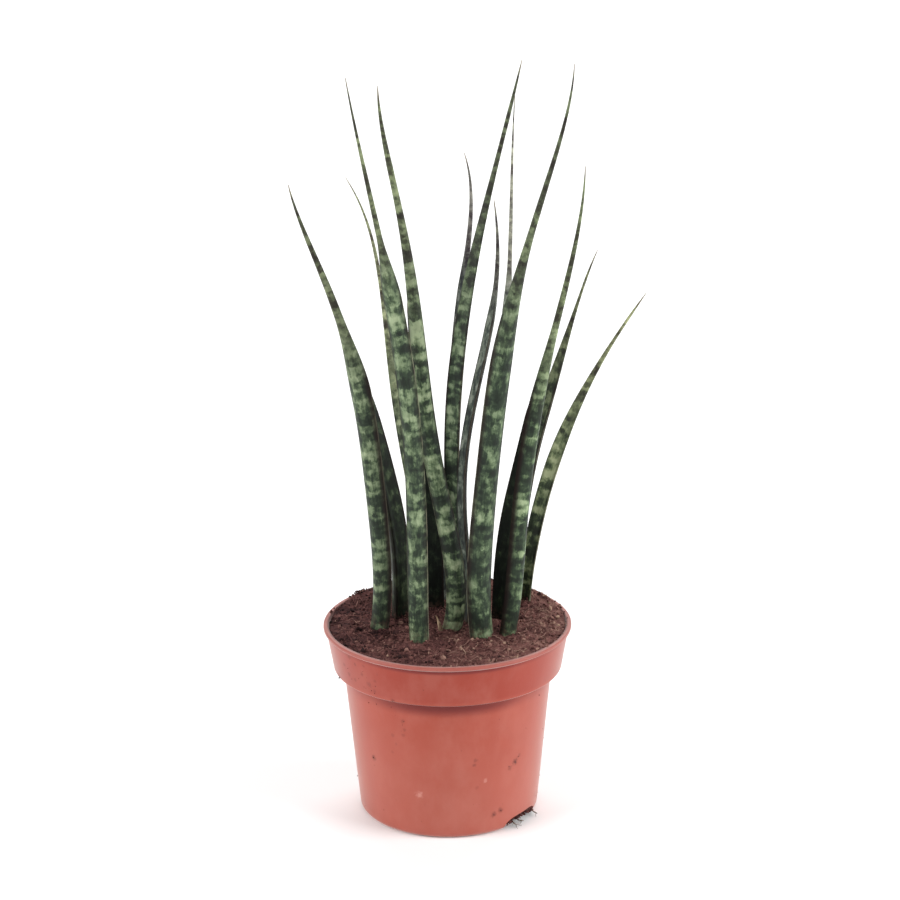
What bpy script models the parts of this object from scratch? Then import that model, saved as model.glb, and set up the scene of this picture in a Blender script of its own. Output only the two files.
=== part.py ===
"""A mottled, rush-leaved snake plant in a terracotta-coloured nursery pot.

The pot is one moulded piece: a tapered body, a wider stacking collar under a thin lip, a foot ring
with a centre pad, six round drain holes and two notches through its lower edge. The root ball fills
the pot. Fifteen leaves stand in it, each a bent gutter that runs out into a long round spike.
The origin is the middle of the pot's underside, on the ground, with +Z up and -Y the front.
"""

import math

import bpy
import numpy as np

# Pot, in metres
RIM_RADIUS = 0.0600
POT_HEIGHT = 0.0950
WALL = 0.0012
LIP_HEIGHT = 0.0018
LIP_OVERHANG = 0.0014
COLLAR_HEIGHT = 0.0214
COLLAR_TAPER = 0.0032
COLLAR_STEP = 0.0049
BODY_BOTTOM_RADIUS = 0.0436
FOOT_WIDTH = 0.0024
FOOT_RECESS = 0.0025
FOOT_SLOPE = 0.0013
PAD_RADIUS = 0.0100
EDGE_ROUND = 0.0034
LIP_ROUND = 0.0006
COLLAR_ROUND = 0.0008
FLOOR_CORNER = 0.0030
SEGMENTS = 56

DRAIN_HOLES = 6
DRAIN_HOLE_RADIUS = 0.0032
DRAIN_HOLE_CIRCLE = 0.0260
CUTTER_EXTRA = 0.0020
NOTCH_HEIGHT = 0.0056
NOTCH_END_HEIGHT = 0.0012
NOTCH_DEPTH = 0.0085
NOTCH_HALF_ANGLE = math.radians(17.0)
NOTCH_DIRECTIONS = (math.radians(-35.0), math.radians(145.0))

# Root ball
GAP = 0.0003
SOIL_BELOW_RIM = 0.0016
SOIL_CROWN = 0.0024
SOIL_RIPPLE = 0.0005
SOIL_EDGE_ROUND = 0.0006
SOIL_LEVEL = POT_HEIGHT - 0.0006

# Leaves
LEAF_ROOT = 0.0160
LEAF_RINGS = 19
LEAF_SIDES = 12
LEAF_TIP_WIDTH = 0.0007
SPIKE_TAPER = 0.8
LEAN_POWER = 1.5
FOOT_PART = 0.95
FOOT_REACH = 0.0350
MM = 0.001

# Each leaf's x positions are those at the soil, at each fifth of its height and at its tip. It
# leans from the first y to the second.
# tip is its height above the ground, blade is its width near its foot and at its shoulder, spike
# is its width above that, shoulder is where it starts to narrow and where only the spike is left,
# as parts of its height, and facing is the direction that its channel opens to, in degrees from
# +X. All others are in mm.
LEAVES = {
    "leaf_far_left": dict(
        x=(-33.5, -32, -35.5, -42, -55, -69.5), y=(-9, -32), tip=318,
        blade=(9.9, 10.8), spike=3.8, shoulder=(0.54, 0.73), facing=65),
    "leaf_left_back": dict(
        x=(-23, -23, -28, -36.5, -46, -58), y=(6, 27), tip=262,
        blade=(13, 10.8), spike=1.2, shoulder=(0.56, 0.90), facing=-35),
    "leaf_left_slim": dict(
        x=(-8, -13.5, -21, -27, -32, -47), y=(24, 52), tip=303,
        blade=(6.9, 6), spike=1.9, shoulder=(0.29, 0.79), facing=-60),
    "leaf_left_front": dict(
        x=(-13.5, -14, -16, -22.5, -32.5, -42.5), y=(-28, -44), tip=368,
        blade=(10.2, 8.8), spike=2.6, shoulder=(0.62, 0.74), facing=80),
    "leaf_left_inner": dict(
        x=(-5.5, -6, -7.5, -11, -15, -17.5), y=(14, 22), tip=250,
        blade=(9.2, 7.9), spike=1.2, shoulder=(0.52, 0.97), facing=-95),
    "leaf_middle_front": dict(
        x=(2, 0.5, -8.5, -13.5, -21, -29), y=(-13, -20), tip=360,
        blade=(10.1, 8.2), spike=2.9, shoulder=(0.43, 0.86), facing=100),
    "leaf_middle_tall": dict(
        x=(5, 3.5, 4.5, 11.5, 23.5, 37), y=(17, 28), tip=363,
        blade=(8.4, 8.7), spike=2, shoulder=(0.41, 0.90), facing=-125),
    "leaf_middle_slim": dict(
        x=(1, 1.5, 3.5, 6, 11.5, 10), y=(25, 55), tip=314,
        blade=(5.7, 4.9), spike=2.5, shoulder=(0.69, 0.82), facing=-100),
    "leaf_middle_dark": dict(
        x=(8, 8.5, 8.5, 16, 24, 23.5), y=(-4, 14), tip=300,
        blade=(7.3, 5.8), spike=2.2, shoulder=(0.70, 0.84), facing=-150),
    "leaf_back_spike": dict(
        x=(17.5, 20, 26, 30.5, 32.5, 34.5), y=(30, 61), tip=340,
        blade=(5.7, 5.3), spike=2.2, shoulder=(0.56, 0.69), facing=-90),
    "leaf_tall_front": dict(
        x=(17, 17, 22.5, 31, 45.5, 57.5), y=(-23, -54), tip=375,
        blade=(12.3, 10.7), spike=2.9, shoulder=(0.47, 0.75), facing=105),
    "leaf_right_inner": dict(
        x=(25, 26.5, 30, 36, 42.5, 50), y=(0, 12), tip=228,
        blade=(8.2, 6.7), spike=1.2, shoulder=(0.75, 0.94), facing=-120),
    "leaf_right_front": dict(
        x=(29, 34, 38.5, 47, 57.5, 63.5), y=(-18, -36), tip=326,
        blade=(9.9, 9.2), spike=3, shoulder=(0.45, 0.71), facing=125),
    "leaf_right_back": dict(
        x=(32.5, 36, 41, 50, 60.5, 73), y=(23, 32), tip=271,
        blade=(8.2, 7.5), spike=1.2, shoulder=(0.55, 0.92), facing=-140),
    "leaf_far_right": dict(
        x=(38, 42, 49.5, 61, 77.5, 99), y=(25, 66), tip=241,
        blade=(8.3, 8.2), spike=1.4, shoulder=(0.42, 0.92), facing=-130),
}

# Small pieces at the soil, in metres
SHEATH_FOOT = (-0.0028, -0.0158)
SHEATH_HEIGHT = 0.0095
SHEATH_WIDTH = 0.0026
SHEATH_THICKNESS = 0.0008
SHEATH_ROOT = 0.0050
SHEATH_LEAN = 0.0026
ROOT_RADIUS = 0.0005

# Each drain root's swing and curl about the notch's direction, in radians, its reach and its sag
DRAIN_ROOTS = {
    "drain_root_left": (-0.19, 0.0075, 0.05, 0.0024),
    "drain_root_middle": (0.02, 0.0060, -0.07, 0.0020),
    "drain_root_right": (0.16, 0.0085, 0.06, 0.0016),
}

FIFTHS = np.linspace(0.0, 1.0, 6)


def through_fifths(values, s):
    """The one smooth curve of degree five that takes the six values at s = 0, 1/5, ... 1."""
    total = np.zeros_like(s)
    for i, value in enumerate(values):
        others = np.delete(FIFTHS, i)
        total += value * np.prod((s[:, None] - others) / (FIFTHS[i] - others), axis=1)
    return total


def ease(t):
    """A smooth step from 0 to 1 as t goes from 0 to 1."""
    t = np.clip(t, 0.0, 1.0)
    return t * t * (3.0 - 2.0 * t)


def material(name, colour, roughness):
    """A plain Principled material."""
    made = bpy.data.materials.new(name)
    made.use_nodes = True
    shader = made.node_tree.nodes["Principled BSDF"]
    shader.inputs["Base Color"].default_value = (*colour, 1.0)
    shader.inputs["Roughness"].default_value = roughness
    return made


def add_object(name, vertices, faces, skin=None):
    """An object at the origin, smooth except over its sharp edges."""
    mesh = bpy.data.meshes.new(name)
    mesh.from_pydata(np.asarray(vertices, dtype=float).tolist(), [], faces)
    if skin is not None:
        mesh.materials.append(skin)
    mesh.shade_smooth()
    mesh.set_sharp_from_angle(angle=math.radians(35.0))
    made = bpy.data.objects.new(name, mesh)
    bpy.context.collection.objects.link(made)
    return made


def loft(rings):
    """Vertices and outward faces of a closed solid through rings that turn anticlockwise about
    the way they advance, with a flat cap on each end."""
    count, sides = len(rings), len(rings[0])
    faces = [
        (i * sides + j, i * sides + (j + 1) % sides,
         (i + 1) * sides + (j + 1) % sides, (i + 1) * sides + j)
        for i in range(count - 1) for j in range(sides)
    ]
    faces.append(tuple(range(sides - 1, -1, -1)))
    faces.append(tuple(range((count - 1) * sides, count * sides)))
    return np.concatenate(rings), faces


def turned(profile):
    """Vertices and faces of a solid turned about Z from (radius, height) points that start and
    end on the axis and run down the outer side, in at the bottom and up the inner side."""
    angles = np.arange(SEGMENTS) * 2.0 * math.pi / SEGMENTS
    middle = np.array(profile[1:-1])
    rings = [
        np.column_stack([r * np.cos(angles), r * np.sin(angles), np.full(SEGMENTS, z)])
        for r, z in middle
    ]
    vertices = np.concatenate(rings + [[(0.0, 0.0, profile[0][1]), (0.0, 0.0, profile[-1][1])]])
    first, last = len(vertices) - 2, len(vertices) - 1
    end = (len(middle) - 1) * SEGMENTS
    faces = []
    for j in range(SEGMENTS):
        k = (j + 1) % SEGMENTS
        faces.append((first, j, k))
        faces.append((last, end + k, end + j))
        for i in range(len(middle) - 1):
            a, b = i * SEGMENTS, (i + 1) * SEGMENTS
            faces.append((a + j, b + j, b + k, a + k))
    return vertices, faces


def arc(centre, radius, start, stop, points):
    """Points (radius, height) along an arc, its angles in degrees from straight outward."""
    angles = np.radians(np.linspace(start, stop, points))
    return [(centre[0] + radius * math.cos(a), centre[1] + radius * math.sin(a)) for a in angles]


def cut(target, cutter):
    """Take the cutter away from the target, and keep the cutter out of the model."""
    cutter.hide_render = True
    cutter.display_type = "WIRE"
    difference = target.modifiers.new("cut_" + cutter.name, "BOOLEAN")
    difference.operation = "DIFFERENCE"
    difference.object = cutter


# Heights and radii that the pot and the root ball share
COLLAR_BOTTOM = POT_HEIGHT - COLLAR_HEIGHT
COLLAR_TOP_RADIUS = RIM_RADIUS - LIP_OVERHANG
COLLAR_BOTTOM_RADIUS = COLLAR_TOP_RADIUS - COLLAR_TAPER
BODY_TOP_RADIUS = COLLAR_BOTTOM_RADIUS - COLLAR_STEP
FLOOR_TOP = FOOT_RECESS + WALL
LEDGE = COLLAR_BOTTOM + WALL


def pot_inside(clearance):
    """(radius, height) points up the pot's inner wall from the floor, moved in by a clearance."""
    foot = (BODY_BOTTOM_RADIUS - WALL - clearance, FLOOR_TOP + clearance)
    return [
        *arc((foot[0] - FLOOR_CORNER, foot[1] + FLOOR_CORNER), FLOOR_CORNER, -90.0, 0.0, 4),
        (BODY_TOP_RADIUS - WALL - clearance, LEDGE - 2.0 * COLLAR_ROUND + clearance),
        (COLLAR_BOTTOM_RADIUS - WALL - clearance, LEDGE + clearance),
        (COLLAR_TOP_RADIUS - WALL - clearance, POT_HEIGHT - LIP_HEIGHT),
    ]


def build_pot():
    """The moulded pot, turned in one piece and cut through for the drain holes and notches."""
    foot_inner = BODY_BOTTOM_RADIUS - EDGE_ROUND - FOOT_WIDTH
    lip_middle = RIM_RADIUS - LIP_ROUND
    lip_bottom = POT_HEIGHT - LIP_HEIGHT
    profile = [
        (0.0, 0.0),
        (PAD_RADIUS, 0.0),
        (PAD_RADIUS + FOOT_SLOPE, FOOT_RECESS),
        (foot_inner - FOOT_SLOPE, FOOT_RECESS),
        (foot_inner, 0.0),
        *arc((BODY_BOTTOM_RADIUS - EDGE_ROUND, EDGE_ROUND), EDGE_ROUND, -90.0, 0.0, 5),
        (BODY_TOP_RADIUS, COLLAR_BOTTOM - COLLAR_ROUND),
        (BODY_TOP_RADIUS + COLLAR_ROUND, COLLAR_BOTTOM),
        *arc((COLLAR_BOTTOM_RADIUS - COLLAR_ROUND, COLLAR_BOTTOM + COLLAR_ROUND),
             COLLAR_ROUND, -90.0, 0.0, 3),
        (COLLAR_TOP_RADIUS, lip_bottom - LIP_ROUND),
        *arc((lip_middle, lip_bottom + LIP_ROUND), LIP_ROUND, -90.0, 0.0, 3),
        *arc((lip_middle, POT_HEIGHT - LIP_ROUND), LIP_ROUND, 0.0, 90.0, 3),
        *arc((COLLAR_TOP_RADIUS - WALL + LIP_ROUND, POT_HEIGHT - LIP_ROUND), LIP_ROUND, 90.0, 180.0, 3),
        *reversed(pot_inside(0.0)),
        (0.0, FLOOR_TOP),
    ]
    profile.reverse()
    vertices, faces = turned(profile)
    pot = add_object("pot", vertices, faces, material("terracotta plastic", (0.56, 0.12, 0.075), 0.4))

    for index in range(DRAIN_HOLES):
        angle = (index + 0.5) * 2.0 * math.pi / DRAIN_HOLES + NOTCH_DIRECTIONS[0]
        around = np.arange(16) * math.pi / 8.0
        centre = DRAIN_HOLE_CIRCLE * np.array([math.cos(angle), math.sin(angle)])
        ring = centre + DRAIN_HOLE_RADIUS * np.column_stack([np.cos(around), np.sin(around)])
        ends = (-CUTTER_EXTRA, FLOOR_TOP + CUTTER_EXTRA)
        rings = [np.column_stack([ring, np.full(len(ring), z)]) for z in ends]
        cut(pot, add_object(f"drain_hole_cutter_{index}", *loft(rings)))

    for index, direction in enumerate(NOTCH_DIRECTIONS):
        spread = np.linspace(-NOTCH_HALF_ANGLE, NOTCH_HALF_ANGLE, 9)
        rise = np.sqrt(np.clip(1.0 - np.abs(spread / NOTCH_HALF_ANGLE) ** 3.0, 0.0, 1.0))
        rings = []
        for turn, height in zip(spread, NOTCH_END_HEIGHT + (NOTCH_HEIGHT - NOTCH_END_HEIGHT) * rise):
            across = np.array([math.cos(direction + turn), math.sin(direction + turn), 0.0])
            inner = across * (BODY_BOTTOM_RADIUS - NOTCH_DEPTH)
            outer = across * (BODY_BOTTOM_RADIUS + CUTTER_EXTRA)
            low, high = np.array([0.0, 0.0, -CUTTER_EXTRA]), np.array([0.0, 0.0, height])
            rings.append(np.array([inner + low, inner + high, outer + high, outer + low]))
        cut(pot, add_object(f"notch_cutter_{index}", *loft(rings)))
    return pot


def soil_height(x, y):
    """Height of the soil: a low crown that meets the wall below the rim, with slight ripples."""
    part = np.hypot(x, y) / RIM_RADIUS
    ripple = np.sin(160.0 * x + 1.0) * np.cos(140.0 * y - 0.6) + 0.6 * np.sin(330.0 * y + 210.0 * x)
    return POT_HEIGHT - SOIL_BELOW_RIM + SOIL_CROWN * (1.0 - part ** 2) + SOIL_RIPPLE * ripple


def leaf_rings(leaf, grow, root, rings):
    """Cross-sections of one leaf from its foot in the soil to its tip, made thicker by grow.

    At the part s of its height the leaf's middle is at the curve through its six x positions
    and at y0 + (y1 - y0) * s ** LEAN_POWER. Under the soil it goes straight on. A section is an
    ellipse whose ends are bent towards the facing direction, so that it makes a gutter. Above the
    shoulder the gutter closes into a round spike.
    """
    rise = leaf["tip"] * MM - SOIL_LEVEL
    s = np.concatenate([[-root / rise], np.linspace(0.0, 1.0, rings)])
    above = np.clip(s, 0.0, 1.0)
    x = through_fifths(np.array(leaf["x"]) * MM, above)
    y = (leaf["y"][0] + (leaf["y"][1] - leaf["y"][0]) * above ** LEAN_POWER) * MM
    path = np.column_stack([x, y, SOIL_LEVEL + rise * s])

    low, high = leaf["shoulder"]
    foot_blade, top_blade = leaf["blade"]
    blade = (foot_blade + (top_blade - foot_blade) * np.clip(s / low, 0.0, 1.0)) * MM
    blade *= FOOT_PART + (1.0 - FOOT_PART) * ease(s * rise / FOOT_REACH)
    spike = leaf["spike"] * MM
    spike_width = LEAF_TIP_WIDTH + (spike - LEAF_TIP_WIDTH) * np.clip(
        (1.0 - s) / (1.0 - high), 0.0, 1.0) ** SPIKE_TAPER
    gutter = ease((high - s) / (high - low))
    half_width = 0.5 * (spike_width + (blade - spike_width) * gutter) + grow
    half_thickness = 0.5 * (spike_width * (1.0 - gutter) + 0.42 * blade * gutter) + grow
    channel = 0.26 * blade * gutter

    tangent = np.gradient(path, axis=0)
    tangent[:2] = (0.0, 0.0, 1.0)
    tangent /= np.linalg.norm(tangent, axis=1)[:, None]
    facing = math.radians(leaf["facing"])
    open_side = np.array([math.cos(facing), math.sin(facing), 0.0])
    open_side = open_side - tangent * (tangent @ open_side)[:, None]
    open_side /= np.linalg.norm(open_side, axis=1)[:, None]
    across = np.cross(open_side, tangent)

    turn = np.arange(LEAF_SIDES) * 2.0 * math.pi / LEAF_SIDES
    wide = half_width[:, None] * np.cos(turn)
    deep = half_thickness[:, None] * np.sin(turn) + channel[:, None] * (np.cos(turn) ** 2 - 0.5)
    return [
        path[i] + wide[i][:, None] * across[i] + deep[i][:, None] * open_side[i]
        for i in range(len(path))
    ]


def build_soil():
    """The root ball: it fills the pot with a gap of GAP and has a socket for each leaf."""
    top_radius = COLLAR_TOP_RADIUS - WALL - GAP
    wall = pot_inside(GAP)
    rim_height = float(soil_height(top_radius, 0.0))
    top = [(r, rim_height) for r in np.linspace(0.0, top_radius - SOIL_EDGE_ROUND, 8)]
    shoulder = (top_radius - 0.3 * SOIL_EDGE_ROUND, rim_height - SOIL_EDGE_ROUND)
    profile = [*top, shoulder, *reversed(wall[:-1]), (0.0, wall[0][1])]
    vertices, faces = turned(profile)
    on_top = vertices[:, 2] > rim_height - 0.5 * SOIL_EDGE_ROUND
    vertices[on_top, 2] = soil_height(vertices[on_top, 0], vertices[on_top, 1])
    soil = add_object("soil", vertices, faces, material("potting soil", (0.045, 0.022, 0.018), 0.95))

    for name, leaf in LEAVES.items():
        rings = leaf_rings(leaf, GAP, LEAF_ROOT + GAP, LEAF_RINGS)[:4]
        cut(soil, add_object(name + "_socket", *loft(rings)))
    cut(soil, add_object("sheath_socket", *loft(sheath_rings(GAP, SHEATH_ROOT + GAP))))
    return soil


def build_leaves():
    """One object for each leaf."""
    for name, leaf in LEAVES.items():
        vertices, faces = loft(leaf_rings(leaf, 0.0, LEAF_ROOT, LEAF_RINGS))
        add_object(name, vertices, faces, material(name + " green", (0.075, 0.125, 0.065), 0.45))


def sheath_rings(grow, root):
    """Cross-sections of the dry sheath leaf: a short, thin scale that leans and comes to a point."""
    s = np.concatenate([[-root / SHEATH_HEIGHT], np.linspace(0.0, 1.0, 6)])
    turn = np.arange(8) * math.pi / 4.0
    rings = []
    for part in s:
        above = max(part, 0.0)
        size = 1.0 - 0.85 * above ** 1.6
        centre = np.array([SHEATH_FOOT[0] - SHEATH_LEAN * above ** 1.4, SHEATH_FOOT[1] + 0.0010 * above,
                           SOIL_LEVEL + SHEATH_HEIGHT * part])
        wide = (0.5 * SHEATH_WIDTH * size + grow) * np.cos(turn)
        deep = (0.5 * SHEATH_THICKNESS * size + grow) * np.sin(turn)
        rings.append(centre + np.column_stack([wide, deep, np.zeros(8)]))
    return rings


def build_sheath():
    """The dry scale leaf that stands between the two front leaves."""
    vertices, faces = loft(sheath_rings(0.0, SHEATH_ROOT))
    add_object("dry_sheath", vertices, faces, material("dry straw", (0.35, 0.24, 0.14), 0.8))


def build_drain_roots():
    """Thin roots that hang from the root ball in the front notch and reach out of it."""
    direction = NOTCH_DIRECTIONS[0]
    outward = np.array([math.cos(direction), math.sin(direction), 0.0])
    sideways = np.array([-outward[1], outward[0], 0.0])
    turn = np.arange(6) * math.pi / 3.0
    round_section = np.cos(turn)[:, None] * sideways + np.sin(turn)[:, None] * [0.0, 0.0, 1.0]
    skin = material("root brown", (0.16, 0.10, 0.07), 0.85)
    for name, (swing, reach, curl, sag) in DRAIN_ROOTS.items():
        t = np.linspace(0.0, 1.0, 9)
        radius = BODY_BOTTOM_RADIUS - 0.0052 + reach * t
        angle = direction + swing + curl * np.sin(2.6 * t)
        height = FLOOR_TOP - ROOT_RADIUS - sag * np.sin(1.6 * t) ** 2
        path = np.column_stack([radius * np.cos(angle), radius * np.sin(angle), height])
        thickness = ROOT_RADIUS * (1.0 - 0.6 * t)
        vertices, faces = loft(path[:, None, :] + thickness[:, None, None] * round_section)
        add_object(name, vertices, faces, skin)


for old in list(bpy.data.objects):
    bpy.data.objects.remove(old, do_unlink=True)
build_pot()
build_soil()
build_leaves()
build_sheath()
build_drain_roots()
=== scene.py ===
"""A potted, rush-leaved snake plant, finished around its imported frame.

The sections follow the plant as it is put together: the nursery pot, the peat that fills it, the
roots that hang out of it below, the leaves, and the dry scale between them. The floor, the lights
and the camera come last.
"""
import math

import bmesh
import bpy
import numpy as np
from mathutils import Matrix, Vector


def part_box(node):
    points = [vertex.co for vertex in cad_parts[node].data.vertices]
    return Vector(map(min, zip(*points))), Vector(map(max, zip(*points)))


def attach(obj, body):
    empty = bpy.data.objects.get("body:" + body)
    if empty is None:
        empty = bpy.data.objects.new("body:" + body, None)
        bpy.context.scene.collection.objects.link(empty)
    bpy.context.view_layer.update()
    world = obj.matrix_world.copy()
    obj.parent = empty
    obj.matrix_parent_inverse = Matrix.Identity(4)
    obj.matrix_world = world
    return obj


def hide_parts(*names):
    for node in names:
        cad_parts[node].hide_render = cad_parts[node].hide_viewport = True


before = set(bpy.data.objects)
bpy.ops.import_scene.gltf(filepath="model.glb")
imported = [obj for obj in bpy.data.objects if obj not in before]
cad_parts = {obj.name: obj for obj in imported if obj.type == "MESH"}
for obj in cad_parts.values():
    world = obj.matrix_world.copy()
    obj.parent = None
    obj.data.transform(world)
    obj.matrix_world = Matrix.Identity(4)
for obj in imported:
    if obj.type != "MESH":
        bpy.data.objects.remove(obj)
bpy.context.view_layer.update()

# ------------------------------------------------------------------------------------- The pot
# A nursery pot, moulded in one shot from terracotta-coloured polypropylene: a tapered body, a
# wider stacking collar under a beaded lip, and a foot ring round a floor with six drain holes.
# Two arched notches through the lower edge let the water out. Nothing is fixed to it.
MM = 0.001
ORIGIN = (0.0, 0.0, 0.0)
_, pot_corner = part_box("pot")
RIM_RADIUS = pot_corner.x
POT_HEIGHT = pot_corner.z
WALL = 1.2 * MM
LIP_HEIGHT = 1.8 * MM
LIP_OVERHANG = 1.4 * MM
LIP_ROUND = 0.6 * MM
COLLAR_HEIGHT = 21.4 * MM
COLLAR_TAPER = 3.2 * MM
COLLAR_STEP = 4.9 * MM
COLLAR_ROUND = 0.8 * MM
BODY_BOTTOM_RADIUS = 43.6 * MM
EDGE_ROUND = 3.4 * MM
FOOT_WIDTH = 2.4 * MM
FOOT_RECESS = 2.5 * MM
FOOT_SLOPE = 1.3 * MM
PAD_RADIUS = 10.0 * MM
FLOOR_CORNER = 3.0 * MM
POT_TURNS = 240
POT_STEP = 2.2 * MM

COLLAR_BOTTOM = POT_HEIGHT - COLLAR_HEIGHT
COLLAR_TOP_RADIUS = RIM_RADIUS - LIP_OVERHANG
COLLAR_BOTTOM_RADIUS = COLLAR_TOP_RADIUS - COLLAR_TAPER
BODY_TOP_RADIUS = COLLAR_BOTTOM_RADIUS - COLLAR_STEP
FLOOR_TOP = FOOT_RECESS + WALL
LEDGE = COLLAR_BOTTOM + WALL

DRAIN_HOLES = 6
DRAIN_HOLE_RADIUS = 3.2 * MM
DRAIN_HOLE_CIRCLE = 26.0 * MM
NOTCH_HEIGHT = 5.6 * MM
NOTCH_END_HEIGHT = 1.2 * MM
NOTCH_DEPTH = 8.5 * MM
NOTCH_HALF_ANGLE = math.radians(17.0)
NOTCH_DIRECTIONS = (math.radians(-35.0), math.radians(145.0))
CUTTER_EXTRA = 2.0 * MM

# Smudges of peat and rubbed pale spots on the wall: angle about the pot in degrees, then height
# and size in mm, then strength.
PEAT_SMUDGES = (
    (-140, 37.0, 4.2, 0.55), (-74, 42.0, 3.0, 0.36), (-75, 39.5, 2.6, 0.40), (-47, 36.0, 4.6, 0.60),
    (-51, 33.8, 3.6, 0.40), (-44, 39.0, 2.6, 0.35), (-116, 62.0, 3.0, 0.34), (-115, 57.5, 2.4, 0.30),
    (-123, 53.0, 2.8, 0.26), (-121, 49.0, 2.2, 0.22), (-61, 10.5, 4.4, 0.45), (-56, 12.0, 4.8, 0.42),
    (-139, 88.5, 2.6, 0.40), (-135, 84.5, 3.4, 0.40), (-131, 80.0, 4.4, 0.36), (-128, 77.0, 3.0, 0.32),
    (-149, 85.0, 3.0, 0.34), (-160, 74.4, 4.6, 0.62), (-118, 74.2, 3.2, 0.45), (-73, 27.0, 2.4, 0.20),
    (-143, 91.0, 3.4, 0.42), (-141, 79.5, 3.0, 0.34), (-146, 81.0, 3.6, 0.36), (-133, 89.5, 2.6, 0.34),
    (-127, 83.0, 2.6, 0.30), (-125, 87.0, 2.2, 0.24), (-116, 54.5, 2.6, 0.26), (-124, 44.0, 2.2, 0.22),
)
RUBBED_SPOTS = ((-108, 23.5, 4.8, 0.46), (-68, 30.2, 3.2, 0.34))

PIGMENT = (0.322, 0.044, 0.020), (0.366, 0.057, 0.030)
COLLAR_RED = (0.278, 0.019, 0.003)
LIP_HIGHLIGHT_PINK = (0.32, 0.082, 0.062)
BLOOM_PINK = (0.56, 0.25, 0.20)
SCUFF_PINK = (0.62, 0.36, 0.29)
RUBBED_PINK = (0.66, 0.32, 0.26)
PAINTED_SHADE_RED = (0.150, 0.002, 0.0)
WET_PEAT_AND_SHADE = (0.095, 0.022, 0.016)
SHEEN_PINK = (1.0, 0.90, 0.86, 1.0)


def arc(centre, radius, start, stop, points=7):
    """(radius, height) points along an arc, its angles in degrees from straight outward."""
    angles = np.radians(np.linspace(start, stop, points))
    return np.column_stack([centre[0] + radius * np.cos(angles), centre[1] + radius * np.sin(angles)])


def refined(outline, longest):
    """The same outline with each straight stretch cut into equal steps no longer than longest."""
    outline = np.vstack(outline)
    steps = np.ceil(np.linalg.norm(np.diff(outline, axis=0), axis=1) / longest).astype(int)
    places = np.concatenate([i + np.arange(n) / n for i, n in enumerate(steps)] + [[len(steps)]])
    return np.column_stack([np.interp(places, np.arange(len(outline)), column) for column in outline.T])


def about_axis(radius, angle, height):
    """Points about Z: the radius r, the angle t and the height z give (r cos t, r sin t, z)."""
    x, y, z = np.broadcast_arrays(radius * np.cos(angle), radius * np.sin(angle), height)
    return np.stack([x, y, z], axis=-1)


def whole_turn(count):
    """count angles evenly round a circle, from 0."""
    return np.arange(count) * 2.0 * math.pi / count


def turned(outline, turns):
    """Rings of a surface turned about Z from an outline of (radius, height) points."""
    return about_axis(outline[:, :1], whole_turn(turns), outline[:, 1:])[None]


def closed_rings(rings):
    """Vertices and faces of closed surfaces, one for each first index of rings.

    rings[p, i, j] is point j of ring i of piece p. Neighbouring rings are joined by four-sided
    faces and each end is closed by triangles to its ring's middle. Rings that turn anticlockwise
    about the way they advance give faces that point outward.
    """
    pieces, count, sides, _ = rings.shape
    ends = rings[:, [0, -1]].mean(axis=2)
    vertices = np.concatenate([rings.reshape(pieces, -1, 3), ends], axis=1)
    j = np.arange(sides)
    k = (j + 1) % sides
    i = np.arange(count - 1)[:, None] * sides
    sides_of = np.stack([i + j, i + k, i + sides + k, i + sides + j], axis=-1).reshape(-1, 4)
    last = (count - 1) * sides
    foot = np.stack([np.full(sides, count * sides), k, j], axis=-1)
    head = np.stack([np.full(sides, count * sides + 1), last + j, last + k], axis=-1)
    offset = (np.arange(pieces) * vertices.shape[1])[:, None, None]
    fans = np.concatenate([foot, head])
    return vertices.reshape(-1, 3), [(sides_of + offset).reshape(-1, 4), (fans + offset).reshape(-1, 3)]


def plain_object(name, vertices, faces):
    """An object at the origin from an array of vertices and arrays of faces."""
    mesh = bpy.data.meshes.new(name)
    mesh.from_pydata(vertices.tolist(), [], [face for group in faces for face in group.tolist()])
    made = bpy.data.objects.new(name, mesh)
    bpy.context.scene.collection.objects.link(made)
    return made


def finish_piece(piece, finish, slot, *stands_for, sharp=35.0):
    """Shades a piece, gives it its material, and fixes it in the plant's one body. The slot is not used."""
    piece.data.shade_smooth()
    piece.data.set_sharp_from_angle(angle=math.radians(sharp))
    piece.data.materials.clear()
    piece.data.materials.append(finish)
    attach(piece, "root")
    if stands_for:
        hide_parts(*stands_for)
    return piece


def wired(tree, kind, inputs=(), **settings):
    """A new shader node. Each input is a value, or a socket that feeds it."""
    made = tree.nodes.new("ShaderNode" + kind)
    for name, value in settings.items():
        setattr(made, name, value)
    for name, value in dict(inputs).items():
        if isinstance(value, bpy.types.NodeSocket):
            tree.links.new(value, made.inputs[name])
        else:
            made.inputs[name].default_value = value
    return made


def calc(tree, operation, first, second=0.0, third=0.0):
    """The result of one sum on numbers or sockets."""
    return wired(tree, "Math", {0: first, 1: second, 2: third}, operation=operation).outputs[0]


def times(tree, first, second):
    """The product of two numbers or sockets."""
    return calc(tree, "MULTIPLY", first, second)


def vector_calc(tree, operation, first, second=ORIGIN, output="Vector"):
    """The result of one sum on vectors."""
    return wired(tree, "VectorMath", {0: first, 1: second}, operation=operation).outputs[output]


def part_of(tree, vector, axis):
    """The X, Y or Z of a vector."""
    return wired(tree, "SeparateXYZ", {0: vector}).outputs[axis]


def stretched(tree, place, across, along):
    """Coordinates scaled across and along Z, which stretches the pattern that reads them."""
    return wired(tree, "Mapping", {"Vector": place, "Scale": (across, across, along)}).outputs[0]


def noise(tree, place, scale, detail=2.0, roughness=0.5, warp=0.0, across=1.0, along=1.0):
    """Soft noise from 0 to 1 with about scale lumps to the metre, stretched across or along Z."""
    if (across, along) != (1.0, 1.0):
        place = stretched(tree, place, across, along)
    made = wired(tree, "TexNoise", {
        "Vector": place, "Scale": scale, "Detail": detail, "Roughness": roughness, "Distortion": warp})
    return made.outputs["Fac"]


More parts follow.
